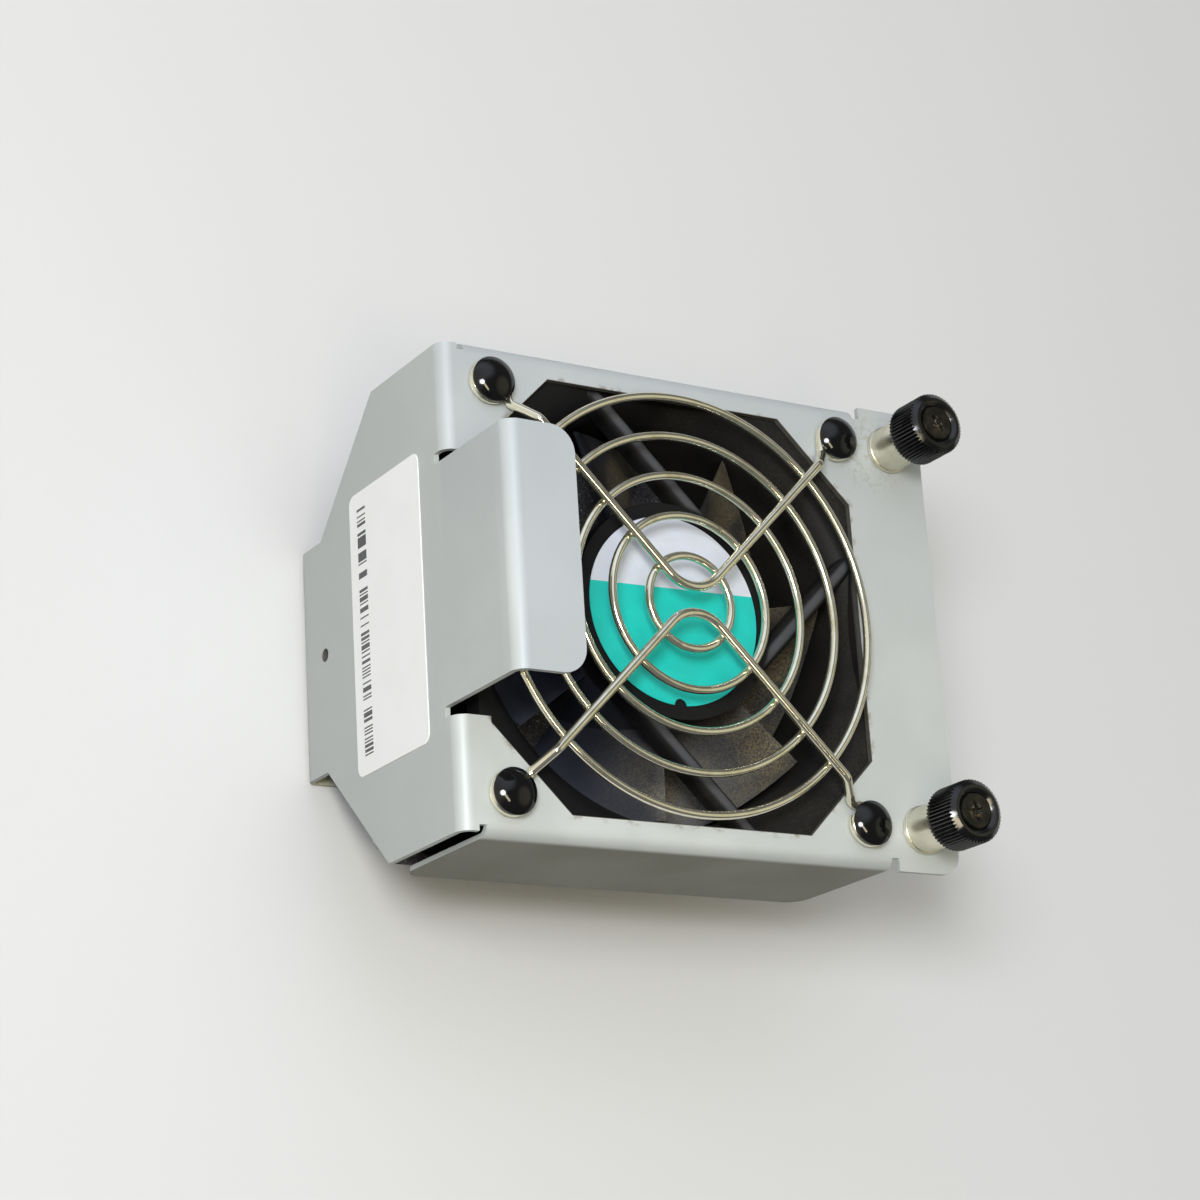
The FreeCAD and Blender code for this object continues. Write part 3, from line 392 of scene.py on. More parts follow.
def plate_tone(look, mottle):
    """Mottled grey with fine specks; painted shade makes the plate darker and bluer to the left and darker
    towards the flange.
    """
    grey = (0.505, 0.532, 0.524)
    pale_grey = (0.55, 0.576, 0.57)
    speck_grey = (0.42, 0.43, 0.40)
    cool_shade_grey = (0.39, 0.42, 0.455)
    shade_grey = (0.42, 0.44, 0.43)
    left_from = -15.0
    flange_from = -45.0
    flange_to = 5.0
    bend_depth = 1.5
    specks = look.fade(look.noise(2.2, 2, shift=3), 0.60, 0.74, 0.0, 0.14)
    leftward = look.fade(look.y, left_from, SIDE_FACE, 0.0, 0.6)
    onward = look.fade(look.x, flange_from, flange_to, 0.0, 0.4)
    above = look.fade(look.z, -bend_depth, 0.0)
    tone = look.mix(look.fade(mottle, 0.35, 0.68), grey, pale_grey)
    tone = look.stain(tone, speck_grey, specks)
    # Painted shade: the plate darkens and turns bluer to the left, and darkens towards the flange.
    tone = look.stain(tone, cool_shade_grey, leftward, above)
    return look.stain(tone, shade_grey, onward, above)


def opening_edge(look):
    """A distance from the fan's axis that is OPENING_HALF all along the octagonal opening."""
    across = look.math("ABSOLUTE", look.math("SUBTRACT", look.x, FAN_X))
    along = look.math("ABSOLUTE", look.y)
    slant = look.times(look.math("ADD", across, along), math.sqrt(0.5))
    slant_reach = (2 * OPENING_HALF - OPENING_CUT) * math.sqrt(0.5)
    straight = look.math("MAXIMUM", across, along)
    return look.math("MAXIMUM", straight, look.math("SUBTRACT", slant, slant_reach - OPENING_HALF))


def opening_tone(look, tone):
    """Blots of brown dirt round the air opening, and a dark cut face."""
    brown = (0.17, 0.12, 0.06)
    dark_brown = (0.055, 0.045, 0.03)
    rim_width = 1.3
    near = 0.2
    off = 0.6
    face_near = 0.06
    face_off = 0.16
    edge = opening_edge(look)
    rim = look.fade(edge, OPENING_HALF + rim_width, OPENING_HALF)
    level = look.times(look.fade(look.z, -off, -near), look.fade(look.z, SHEET + off, SHEET + near))
    blots = look.fade(look.noise(0.45, 5, 0.65, shift=7), 0.52, 0.66)
    cut_face = look.fade(edge, OPENING_HALF + face_off, OPENING_HALF + face_near)
    tone = look.stain(tone, brown, blots, rim, level, 0.7)
    return look.stain(tone, dark_brown, cut_face, level, 0.9)


def screw_smudge(look):
    """The share of grime on the plate beside the left screw."""
    smudge_x = -4.0
    smudge_y = SCREW_Y - 1.0
    outer = 10.5
    inner = 3.5
    near = look.fade(look.reach(smudge_x, smudge_y), outer, inner)
    grime = look.fade(look.noise(1.1, 5, 0.7, shift=11), 0.48, 0.64)
    return look.times(near, grime, look.fade(look.z, 0.5 * SHEET, 0.9 * SHEET))


def wall_tone(look, tone):
    """A yellow lip lightened by painted light, and painted shade that darkens the outer side faces, dulls
    the rear wall, makes the tab bluer and darkens the latch hole.
    """
    lip_yellow_and_light = (0.66, 0.62, 0.40)
    painted_shade_olive = (0.085, 0.083, 0.036)
    painted_wall_shade = (0.425, 0.452, 0.435)
    painted_tab_shade = (0.40, 0.435, 0.475)
    painted_hole_shade = (0.07, 0.06, 0.055)
    lip_end = 2.0
    lip_full = 1.2
    shade_start = -0.2
    shade_full = -2.0
    wall_top = 18.5
    wall_full = 16.0
    shade_low = -35.0
    shade_high = 8.0
    tab_start = 1.1
    tab_full = 0.4
    wall_zone = 8.0
    zone_soft = 5.0
    lip = look.fade(look.z, BOTTOM_Z + lip_end, BOTTOM_Z + lip_full)
    outside = look.fade(look.math("ABSOLUTE", look.y), SIDE_FACE - 0.2, SIDE_FACE - 0.05)
    below = look.fade(look.z, shade_start, shade_full)
    rear = look.fade(look.x, REAR_X + 0.6, REAR_X + 0.2)
    under_tab = look.fade(look.z, wall_top, wall_full)
    lower = look.fade(look.z, shade_low, shade_high, 0.6, 0.3)
    tab = look.fade(look.z, TAB_TOP - tab_start, TAB_TOP - tab_full)
    latch = look.length(look.math("SUBTRACT", look.z, LATCH_Z), look.y)
    hole = look.fade(latch, LATCH_R + 0.1, LATCH_R + 0.03)
    in_wall = look.fade(look.x, REAR_X + wall_zone + zone_soft, REAR_X + wall_zone)
    # Lip tint: a yellow tone, lightened with painted light where the lip sits in shadow.
    tone = look.stain(tone, lip_yellow_and_light, lip, 0.6)
    # Painted shade: the outer side faces below the plate are darkened to olive.
    tone = look.stain(tone, painted_shade_olive, outside, below, 0.9)
    # Painted shade on the rear wall, stronger lower down.
    tone = look.stain(tone, painted_wall_shade, rear, under_tab, lower)
    # Painted shade that turns the tab's top darker and bluer.
    tone = look.stain(tone, painted_tab_shade, tab, 0.6)
    # Painted shade on the latch hole's inner wall.
    return look.stain(tone, painted_hole_shade, hole, in_wall, 0.9)


def zinc_look():
    """Satin zinc plating with brown dirt round the air opening, a smudge by one screw, and painted shade
    and light on the plate and walls.
    """
    smudge_tone = (0.30, 0.275, 0.20)
    look = Look("zinc_sheet", Metallic=0.12, IOR=1.55)
    mottle = look.noise(0.06, 4)
    smudge = screw_smudge(look)
    tone = opening_tone(look, plate_tone(look, mottle))
    tone = look.stain(tone, smudge_tone, smudge, 0.5)
    look.colour(wall_tone(look, tone))
    look.rough(look.math("ADD", look.fade(mottle, 0.3, 0.7, 0.42, 0.50), look.times(smudge, 0.2)))
    look.bump(look.noise(1.2, 3), 0.05, 0.04)
    return look.material


def sticker_look():
    """White coated paper with one row of plain bars."""
    white = (0.95, 0.95, 0.945)
    off_white = (0.93, 0.93, 0.92)
    ink = (0.03, 0.03, 0.035)
    finest_bar = 0.28
    dark_share = 0.52
    row_middle = -29.3
    row_half = 1.55
    bars_half = 22.3
    look = Look("sticker_paper", IOR=1.45)
    cloud = look.noise(0.12, 4)
    paper = look.mix(look.fade(cloud, 0.35, 0.7), white, off_white)
    step = look.math("FLOOR", look.math("DIVIDE", look.y, finest_bar))
    chance = look.nodes.new("ShaderNodeTexWhiteNoise")
    chance.noise_dimensions = "1D"
    look.links.new(look.math("ADD", step, 0.5), chance.inputs["W"])
    dark = look.math("LESS_THAN", chance.outputs["Value"], dark_share)
    height = look.math("ABSOLUTE", look.math("SUBTRACT", look.z, row_middle))
    in_row = look.math("LESS_THAN", height, row_half)
    in_length = look.math("LESS_THAN", look.math("ABSOLUTE", look.y), bars_half)
    look.colour(look.stain(paper, ink, dark, in_row, in_length, 0.94))
    look.rough(look.fade(cloud, 0.3, 0.7, 0.42, 0.55))
    look.bump(look.noise(3.0, 3), 0.05, 0.03)
    return look.material


# Materials of the fan and its guard


def dusty_look(name, base, dust, amount, rough, gloss, crest_highlight=None):
    """Black plastic under grainy brown dust, thickest far out; the dust thins towards -x as painted shade,
    and a crest colour paints a highlight along the strut tops.
    """
    thin_reach = 17.0
    thick_reach = 33.0
    shaded_thin_x = FAN_X - 12.0
    lit_thick_x = FAN_X + 5.0
    crest_end = 41.0
    crest_full = 39.5
    crest_depth = 0.4
    look = Look(name, IOR=1.5, Specular_IOR_Level=gloss)
    reach = look.reach(FAN_X, 0)
    patch = look.fade(look.noise(0.1, 3, 0.5), 0.34, 0.6, 0.3, 1.0)
    grain = look.fade(look.noise(2.8, 4, 0.75, shift=5), 0.40, 0.62, 0.15, 1.0)
    outward = look.fade(reach, thin_reach, thick_reach, 0.3, 1.0)
    # The dust is real grime; its thinning towards -x is painted shade.
    onward = look.fade(look.x, shaded_thin_x, lit_thick_x, 0.06, 1.0)
    film = look.times(patch, grain, outward, onward)
    tone = look.stain(base, dust, film, amount)
    # Painted highlight: a paler, bluer tint along the rounded tops of the struts.
    if crest_highlight:
        beyond = look.fade(reach, MOTOR_BASE, MOTOR_BASE + 1.0)
        within = look.fade(reach, crest_end, crest_full)
        risen = look.fade(look.z, STRUT_TOP - crest_depth, STRUT_TOP)
        under_plate = look.fade(look.z, -0.1, -crest_depth)
        tone = look.stain(tone, crest_highlight, risen, under_plate, beyond, within, 0.8)
    look.colour(tone)
    look.rough(look.math("ADD", look.times(film, 0.3), rough))
    look.bump(look.noise(5.0, 2), 0.10, 0.03)
    return look.material


def label_look():
    """Printed film: white above a straight line, teal below it, a little dusty."""
    white = (0.61, 0.64, 0.74)
    dull_white = (0.585, 0.61, 0.68)
    teal = (0.011, 0.52, 0.465)
    dull_teal = (0.013, 0.475, 0.425)
    dust_brown = (0.25, 0.22, 0.17)
    tilt = 0.021
    middle = 4.0
    soft = 0.05
    look = Look("label_film", IOR=1.4)
    line = look.math("SUBTRACT", look.y, look.times(look.math("SUBTRACT", look.x, FAN_X), tilt))
    cloud = look.fade(look.noise(0.25, 4), 0.35, 0.7)
    above = look.fade(line, middle - soft, middle + soft)
    tone = look.mix(above, look.mix(cloud, teal, dull_teal), look.mix(cloud, white, dull_white))
    dust = look.fade(look.noise(2.4, 5, 0.7), 0.64, 0.8, 0.0, 0.3)
    look.colour(look.mix(dust, tone, dust_brown))
    look.rough(look.math("ADD", look.times(cloud, 0.1), 0.38))
    look.bump(look.noise(0.3, 2), 0.05, 0.1)
    return look.material


def nickel_look(name, bright, dull, low_rough, high_rough, metallic):
    """Nickel plating that is duller in clouds."""
    look = Look(name, Metallic=metallic)
    cloud = look.noise(0.3, 3)
    look.colour(look.mix(look.fade(cloud, 0.45, 0.75), bright, dull))
    look.rough(look.fade(cloud, 0.3, 0.75, low_rough, high_rough))
    return look.material


# Materials of the screws, rivets and inner pieces


def gloss_look(name, base, speckle, rough, gloss):
    """Shiny black with fine specks of dust."""
    look = Look(name, IOR=1.5, Specular_IOR_Level=gloss)
    cloud = look.noise(0.4, 3)
    specks = look.fade(look.noise(3.2, 4, 0.7, shift=2), 0.66, 0.80, 0.0, 0.5)
    look.colour(look.mix(specks, base, speckle))
    look.rough(look.fade(cloud, 0.35, 0.7, rough, rough + 0.06))
    look.bump(cloud, 0.08, 0.1)
    return look.material


def screw_look():
    """Blackened steel, worn bright and a little rusty round the cross recess."""
    black = (0.008, 0.008, 0.006)
    grey_black = (0.022, 0.019, 0.013)
    rust = (0.17, 0.11, 0.045)
    bright = (0.33, 0.31, 0.27)
    rust_end = 2.2
    rust_full = 0.6
    worn_end = 1.5
    worn_full = 0.5
    look = Look("screw_steel", Metallic=0.15, Specular_IOR_Level=0.22)
    cloud = look.noise(0.6, 4)
    reach = look.length(look.x, look.math("SUBTRACT", look.math("ABSOLUTE", look.y), SCREW_Y))
    rusty = look.fade(look.noise(0.9, 3, 0.6, shift=6), 0.55, 0.68)
    worn = look.fade(look.noise(2.2, 4, 0.7, shift=9), 0.52, 0.64)
    tone = look.mix(look.fade(cloud, 0.35, 0.7), black, grey_black)
    tone = look.stain(tone, rust, look.fade(reach, rust_end, rust_full), rusty, 0.7)
    look.colour(look.stain(tone, bright, look.fade(reach, worn_end, worn_full), worn, 0.8))
    look.rough(look.fade(cloud, 0.3, 0.7, 0.30, 0.42))
    look.bump(look.noise(3.6, 2), 0.08, 0.03)
    return look.material


def plain_look(name, base, other, metallic, rough, scale=0.8):
    """Two close tones in clouds, with a fine grain."""
    look = Look(name, Metallic=metallic)
    cloud = look.noise(scale, 4)
    look.colour(look.mix(look.fade(cloud, 0.35, 0.7), base, other))
    look.rough(look.fade(cloud, 0.3, 0.7, rough, rough + 0.12))
    look.bump(look.noise(scale * 6, 2), 0.08, 0.03)
    return look.material


ZINC = zinc_look()
STICKER = sticker_look()
# The crest tint on the housing is a painted highlight on the strut tops.
FRAME = dusty_look("fan_plastic", base=(0.008, 0.008, 0.009), dust=(0.09, 0.075, 0.05), amount=0.2,
                   rough=0.46, gloss=0.11, crest_highlight=(0.085, 0.086, 0.094))
# The blade plastic's bluish base is a painted reflection of a blue sky.
BLADE = dusty_look("blade_plastic", base=(0.019, 0.022, 0.036), dust=(0.28, 0.23, 0.11), amount=0.64,
                   rough=0.40, gloss=0.3)
LABEL = label_look()
# The wire's cream warmth is a painted warm reflection laid on the nickel's own tone.
WIRE = nickel_look("nickel_wire", bright=(0.82, 0.79, 0.64), dull=(0.68, 0.64, 0.46),
                   low_rough=0.10, high_rough=0.16, metallic=0.94)
COLLAR = nickel_look("nickel_collar", bright=(0.74, 0.71, 0.58), dull=(0.64, 0.60, 0.46),
                     low_rough=0.27, high_rough=0.34, metallic=0.95)
RIVET_BLACK = gloss_look("rivet_nylon", base=(0.004, 0.004, 0.004), speckle=(0.06, 0.05, 0.04),
                         rough=0.06, gloss=0.42)
KNOB = gloss_look("knob_black", base=(0.003, 0.003, 0.003), speckle=(0.02, 0.018, 0.015),
                  rough=0.12, gloss=0.55)
SCREW = screw_look()
INNER_TONES = {
    "bearing_steel": dict(base=(0.70, 0.70, 0.70), other=(0.62, 0.62, 0.62), metallic=1.0, rough=0.18),
    "tube_brass": dict(base=(0.78, 0.60, 0.25), other=(0.66, 0.48, 0.18), metallic=1.0, rough=0.28),
    "core_steel": dict(base=(0.35, 0.35, 0.36), other=(0.28, 0.27, 0.26), metallic=0.9, rough=0.42),
    "coil_wire": dict(base=(0.70, 0.33, 0.16), other=(0.55, 0.22, 0.09), metallic=0.8, rough=0.34,
                      scale=2.5),
    "insulator_plastic": dict(base=(0.85, 0.85, 0.80), other=(0.78, 0.77, 0.70), metallic=0.0, rough=0.45),
    "magnet_rubber": dict(base=(0.12, 0.11, 0.10), other=(0.08, 0.075, 0.07), metallic=0.0, rough=0.62),
    "board_green": dict(base=(0.05, 0.30, 0.12), other=(0.035, 0.22, 0.09), metallic=0.0, rough=0.38),
    "chip_black": dict(base=(0.03, 0.03, 0.03), other=(0.05, 0.05, 0.05), metallic=0.0, rough=0.48),
    "spring_steel": dict(base=(0.56, 0.56, 0.55), other=(0.46, 0.45, 0.43), metallic=1.0, rough=0.26),
}
INNER = {name: plain_look(name, **tones) for name, tones in INNER_TONES.items()}
SPRING = INNER["spring_steel"]


# Bracket, sticker, fan housing and the motor's label

dressed("tray_bracket", "bracket_sheet", ZINC, "tray", edge=0.14)
dressed("wall_sticker", "sticker_face", STICKER, "tray", edge=0.03, segments=1)
dressed("fan_frame", "fan_housing", FRAME, "tray", edge=0.25)


def label_shape():
    """A thin disc with a small half-round notch at its lower edge."""
    notch = 1.25
    rim_steps = 120
    notch_steps = 12
    radius = (film_high.x - film_low.x) / 2
    gap = 2 * math.asin(notch / 2 / radius)
    outline = []
    for i in range(rim_steps + 1):
        angle = -math.pi / 2 + gap + (2 * math.pi - 2 * gap) * i / rim_steps
        outline.append((FAN_X + radius * math.cos(angle), radius * math.sin(angle)))
    for i in range(1, notch_steps):
        angle = math.pi - math.pi * i / notch_steps
        outline.append((FAN_X + notch * math.cos(angle), -radius + notch * math.sin(angle)))
    count = len(outline)
    verts = [(x, y, z) for z in (film_high.z, film_low.z) for x, y in outline]
    faces = [list(range(count)), list(range(count, 2 * count))[::-1]]
    for i in range(count):
        j = (i + 1) % count
        faces.append([j, i, count + i, count + j])
    return verts, faces


piece("label_disc", label_shape(), LABEL, "tray", "motor_label")


# Impeller

BLADES = 7
BLADE_PHASE = math.radians(-59.0)
BLADE_SWEEP = math.tan(math.radians(19.0))
BLADE_TOP_GAP = 0.3
BLADE_LOW_GAP = 1.5
BLADE_TOP = hub_high.z - BLADE_TOP_GAP
BLADE_BOTTOM = hub_low.z + BLADE_LOW_GAP
BLADE_CAMBER = 2.0
BLADE_HALF = 0.75
BLADE_FULLNESS = 6
BLADE_TIP = 35.9
BLADE_SINK = 0.6
HUB_R = 19.0
HUB_BORE = 17.9
HUB_SKIN = 1.6
HUB_FLOOR = hub_low.z + HUB_SKIN
HUB_EASE = 0.2
HUB_RIM = 0.3
HUB_CROWN = 1.2
HUB_SEGMENTS = 128
BOSS_R = 3.5
BOSS_HEIGHT = 3.0
BOSS_TOP = HUB_FLOOR + BOSS_HEIGHT
SHAFT_R = 1.5


def blade_point(u, radius, side):
    """A point of one blade at a radius: u runs from its upper edge to its lower one, side across it."""
    rounds = 12
    z = BLADE_TOP + (BLADE_BOTTOM - BLADE_TOP) * u
    swing = 1 - 2 * u
    thickness = BLADE_HALF * math.sqrt(1 - abs(swing) ** BLADE_FULLNESS) * side
    bow = BLADE_CAMBER * (1 - swing ** 2)
    x = radius
    for _ in range(rounds):
        y = x * BLADE_SWEEP * swing + bow + thickness
        x = math.sqrt(radius * radius - y * y)
    return x, y, z


def blade_shape(turn):
    """One blade from inside the hub's wall to its tip, turned about the fan's axis."""
    chord = 22
    span = 9
    root = HUB_R - BLADE_SINK
    loop = [(i / chord, 1) for i in range(chord + 1)] + [(i / chord, -1) for i in range(chord - 1, 0, -1)]
    count = len(loop)
    verts = []
    for step in range(span + 1):
        for u, side in loop:
            x, y, z = blade_point(u, root + (BLADE_TIP - root) * step / span, side)
            verts.append((FAN_X + x * math.cos(turn) - y * math.sin(turn),
                          x * math.sin(turn) + y * math.cos(turn), z))
    faces = [list(range(count))[::-1], list(range(span * count, (span + 1) * count))]
    for step in range(span):
        a = step * count
        for i in range(count):
            j = (i + 1) % count
            faces.append([a + i, a + j, a + count + j, a + count + i])
    return verts, faces


def impeller_shape():
    """Seven blades on a hollow hub with a boss for the shaft."""
    blades = [blade_shape(BLADE_PHASE + 2 * math.pi * k / BLADES) for k in range(BLADES)]
    hub = profile([
        (0, HUB_FLOOR), (SHAFT_R, HUB_FLOOR), (SHAFT_R, BOSS_TOP), (BOSS_R, BOSS_TOP, HUB_EASE),
        (BOSS_R, HUB_FLOOR), (HUB_BORE, HUB_FLOOR), (HUB_BORE, hub_high.z, HUB_EASE),
        (HUB_R, hub_high.z, HUB_RIM), (HUB_R, hub_low.z, HUB_CROWN), (0, hub_low.z)])
    return joined(*blades, lathe(hub, FAN_X, 0, HUB_SEGMENTS))


piece("impeller_blades", impeller_shape(), BLADE, "rotor", "impeller")


# Wire guard

WIRE_SIDES = 32
WIRE_SHARP = 60
RING_FIRST = 8.3
RING_COUNT = 5
RING_RADII = [RING_FIRST + (RING_LAST - RING_FIRST) * i / (RING_COUNT - 1) for i in range(RING_COUNT)]
RING_STEP = 0.5
# Where each ring's butt joint lies, in degrees, from the inner ring outwards
RING_SEAMS = [-109.0, 62.6, 91.3, 106.2, 205.0]
# Places along a butt joint, from its middle, and the share of the wire's radius at each
SEAM_OFFSETS = [-0.45, -0.2, -0.07, 0.0, 0.07, 0.2, 0.45]
SEAM_SWELL = [1.0, 1.04, 1.04, 0.86, 1.04, 1.04, 1.0]
SPOKE_WIRE = 0.85
SPOKE_Z = wire_high.z - SPOKE_WIRE
EYELET_Z = wire_low.z + SPOKE_WIRE
EYELET_R = 3.2
EYELET_END = math.radians(335)
EYELET_STEPS = 60
# The way each eyelet curls, by its rivet's side along x and along y
CURL_SENSE = {(1, 1): -1, (-1, 1): 1, (1, -1): -1, (-1, -1): -1}
STEP_LEAD = 1.6
STEP_RUN = 5.0
STEP_RADIUS = 2.0
APEX_RADIUS = 6.8
APEX_OVERLAP = 0.5
BEND_STEPS = 14


def ring_shape(radius, seam):
    """One guard ring whose two ends meet in a butt joint."""
    start = math.radians(seam)
    near = [offset / radius for offset in SEAM_OFFSETS]
    steps = round(2 * math.pi * radius / RING_STEP)
    rest = [near[-1] + (2 * math.pi - near[-1] + near[0]) * i / steps for i in range(1, steps)]
    angles = [start + a for a in near + rest]
    path = [Vector((FAN_X + radius * math.cos(a), radius * math.sin(a), RING_Z)) for a in angles]
    return tube(path, RING_WIRE, WIRE_SIDES, closed=True, swell=SEAM_SWELL + [1.0] * len(rest))


def leg_directions():
    """The four legs of the guard: the apex that each leaves and the way it runs to its rivet."""
    legs = []
    for side in (1, -1):
        apex = Vector((0, -APEX_OVERLAP * side, 0))
        for end in (1, -1):
            legs.append((apex, (Vector((RIVET_OFFSET * end, RIVET_OFFSET * side, 0)) - apex).normalized()))
    return legs


def leg_shape(side):
    """One bent wire; each end steps down, runs into its eyelet at a tangent and curls round the rivet."""
    middle = Vector((FAN_X, 0, 0))
    apex = middle + Vector((0, -APEX_OVERLAP * side, SPOKE_Z))
    lift = Vector((0, 0, SPOKE_Z - EYELET_Z))
    foot = EYELET_R + STEP_LEAD
    touch = math.acos(EYELET_R / foot)
    turns = [touch + (EYELET_END - touch) * i / EYELET_STEPS for i in range(EYELET_STEPS + 1)]
    halves = []
    curls = []
    for end in (1, -1):
        rivet = middle + Vector((RIVET_OFFSET * end, RIVET_OFFSET * side, EYELET_Z))
        inward = Vector((apex.x - rivet.x, apex.y - rivet.y, 0)).normalized()
        across = Vector((-inward.y, inward.x, 0)) * CURL_SENSE[end, side]
        curl = [rivet + (inward * math.cos(a) + across * math.sin(a)) * EYELET_R for a in turns]
        halves.append([curl[0], rivet + inward * foot, rivet + inward * (foot + STEP_RUN) + lift])
        curls.append(curl)
    corners = halves[0] + [apex] + halves[1][::-1]
    bends = [STEP_RADIUS, STEP_RADIUS, APEX_RADIUS, STEP_RADIUS, STEP_RADIUS]
    path = round_corners(corners, bends, BEND_STEPS)
    return tube(curls[0][:0:-1] + path + curls[1][1:], SPOKE_WIRE, WIRE_SIDES)


def weld_shape():
    """Small flattened nuggets where the legs cross the rings."""
    width = 0.8
    height = 0.42
    steps = 8
    segments = 16
    level = (RING_Z + RING_WIRE + SPOKE_Z - SPOKE_WIRE) / 2
    turns = [math.pi * i / steps for i in range(steps + 1)]
    outline = [(width * math.sin(a), level - height * math.cos(a)) for a in turns]
    nuggets = []
    for apex, run in leg_directions():
        for radius in RING_RADII[1:]:
            lean = apex.dot(run)
            spot = apex + run * (math.sqrt(lean * lean - apex.dot(apex) + radius * radius) - lean)
            nuggets.append(lathe(outline, FAN_X + spot.x, spot.y, segments))
    return joined(*nuggets)


rings = joined(*[ring_shape(radius, seam) for radius, seam in zip(RING_RADII, RING_SEAMS)])
piece("guard_ring_wires", rings, WIRE, "tray", "guard_rings", WIRE_SHARP)
for side, hand in ((1, "left"), (-1, "right")):
    piece(f"guard_leg_{hand}", leg_shape(side), WIRE, "tray", f"guard_wire_{hand}",
          WIRE_SHARP)
piece("guard_welds", weld_shape(), WIRE, "tray", sharp=WIRE_SHARP)


# Push rivets

RIVET_RIM = 0.3
RIVET_PIN = 1.1
RIVET_BROW = 0.15
RIVET_EDGE = 0.12
RIVET_TIP = 0.3
RIVET_SEGMENTS = 64
DOME_STEPS = 16


def rivet_shape(x, y):
    """A domed head on a pin."""
    rise = pins_high.z - RIVET_UNDER - RIVET_RIM
    curve = (RIVET_HEAD ** 2 + rise ** 2) / (2 * rise)
    widest = math.asin(RIVET_HEAD / curve)
    dome = []
    for i in range(DOME_STEPS + 1):
        angle = widest * i / DOME_STEPS
        dome.append((curve * math.sin(angle), pins_high.z - curve * (1 - math.cos(angle))))
    skirt = profile([
        dome[-2], (*dome[-1], RIVET_BROW), (RIVET_HEAD, RIVET_UNDER, RIVET_EDGE), (RIVET_PIN, RIVET_UNDER),
        (RIVET_PIN, pins_low.z, RIVET_TIP), (0, pins_low.z)], steps=4)
    return lathe(dome[:-2] + skirt, x, y, RIVET_SEGMENTS)


places = [(FAN_X + RIVET_OFFSET * x, RIVET_OFFSET * y) for x in (1, -1) for y in (1, -1)]
heads = joined(*[rivet_shape(x, y) for x, y in places])
piece("rivet_heads", heads, RIVET_BLACK, "tray", "rivet_pins", sharp=50)
dressed("rivet_sockets", "rivet_sleeves", RIVET_BLACK, "tray", edge=0.1)


# Captive thumbscrews

NEAR = 0.01
KNURLS = 52
KNURL_STEPS = 8
KNURL_DEPTH = 0.42
KNURL_FULLNESS = 0.8
KNOB_R = (knob_high.x - knob_low.x) / 2
KNOB_BAND = 0.8
KNOB_RING = 4.6
KNOB_RECESS = 3.3
KNOB_CAVITY = 4.4
KNOB_SHOULDER = knob_high.z - KNOB_BAND
RECESS_DEPTH = 1.0
KNOB_FLOOR = knob_high.z - RECESS_DEPTH
CAVITY_TOP = coil_high.z
CONE = (KNOB_R - KNOB_RING) / KNOB_BAND
HEAD_GAP = 0.2
HEAD_R = KNOB_RECESS - HEAD_GAP
HEAD_EDGE = 0.15
HEAD_SEGMENTS = 128
CROSS_TURNS = {"left": math.radians(38), "right": math.radians(8)}
NECK = 1.35
THREAD_R = 1.75
THREAD_TOP = -0.2
THREAD_PITCH = 0.6
THREAD_DEPTH = 0.32


def knob_shape(y):
    """A knurled grip; its grooves run out on the cone above it in a zigzag."""
    ease = 0.12
    floor_ease = 0.1
    bevel_width = 0.75
    bevel_depth = 0.5
    cavity_bevel = 0.2
    foot_inset = 0.1
    grip_rows = (0.35, 2.4, 4.5)
    cone_gap = 0.05
    low = knob_low.z
    top = knob_high.z
    above = KNURL_DEPTH / CONE + cone_gap

    def knurl(r, z, angle):
        if r < KNOB_R - NEAR:
            return r, z
        ridge = (0.5 + 0.5 * math.cos(angle * KNURLS)) ** KNURL_FULLNESS
        grip = KNOB_R - KNURL_DEPTH * (1 - ridge)
        if z > KNOB_SHOULDER - NEAR:
            return grip, KNOB_SHOULDER + (KNOB_R - grip) / CONE
        return grip, z

    outline = [(NECK, CAVITY_TOP), (KNOB_CAVITY, CAVITY_TOP), (KNOB_CAVITY, low + cavity_bevel),
               (KNOB_CAVITY + cavity_bevel, low), (KNOB_R - KNURL_DEPTH - foot_inset, low)]
    outline += [(KNOB_R, low + height) for height in grip_rows]
    outline.append((KNOB_R, KNOB_SHOULDER))
    outline += profile([
        (KNOB_R - above * CONE, KNOB_SHOULDER + above), (KNOB_RING, top, ease),
        (KNOB_RECESS + bevel_width, top, ease), (KNOB_RECESS, top - bevel_depth, ease),
        (KNOB_RECESS, KNOB_FLOOR, floor_ease), (NECK, KNOB_FLOOR)])
    return lathe(outline, 0, y, KNURLS * KNURL_STEPS, closed=True, shape=knurl)


def cross_recess(x, y):
    """Depth of the cross recess at a place on the screw's head."""
    arm = 1.65
    half_width = 0.42
    depth = 0.9
    end_slope = 0.5
    side_slope = 0.16
    deepest = 0.0
    for along, over in ((abs(x), abs(y)), (abs(y), abs(x))):
        length = min(1.0, max(0.0, (arm - along) / end_slope))
        width = min(1.0, max(0.0, (half_width - over) / side_slope))
        deepest = max(deepest, depth * length * width)
    return deepest


def head_shape(y, turn):
    """The screw's upper face with its cross recess turned by an angle."""
    rings = 34
    segments = HEAD_SEGMENTS
    verts = [(0, y, screw_high.z - cross_recess(0, 0))]
    for ring in range(1, rings + 1):
        r = HEAD_R * ring / rings
        for i in range(segments):
            angle = 2 * math.pi * i / segments
            drop = cross_recess(r * math.cos(angle - turn), r * math.sin(angle - turn))
            if ring == rings:
                drop = HEAD_EDGE
            verts.append((r * math.cos(angle), y + r * math.sin(angle), screw_high.z - drop))
    faces = [[0, 1 + i, 1 + (i + 1) % segments] for i in range(segments)]
    for ring in range(rings - 1):
        a = 1 + ring * segments
        for i in range(segments):
            j = (i + 1) % segments
            faces.append([a + i, a + segments + i, a + segments + j, a + j])
    return verts, faces


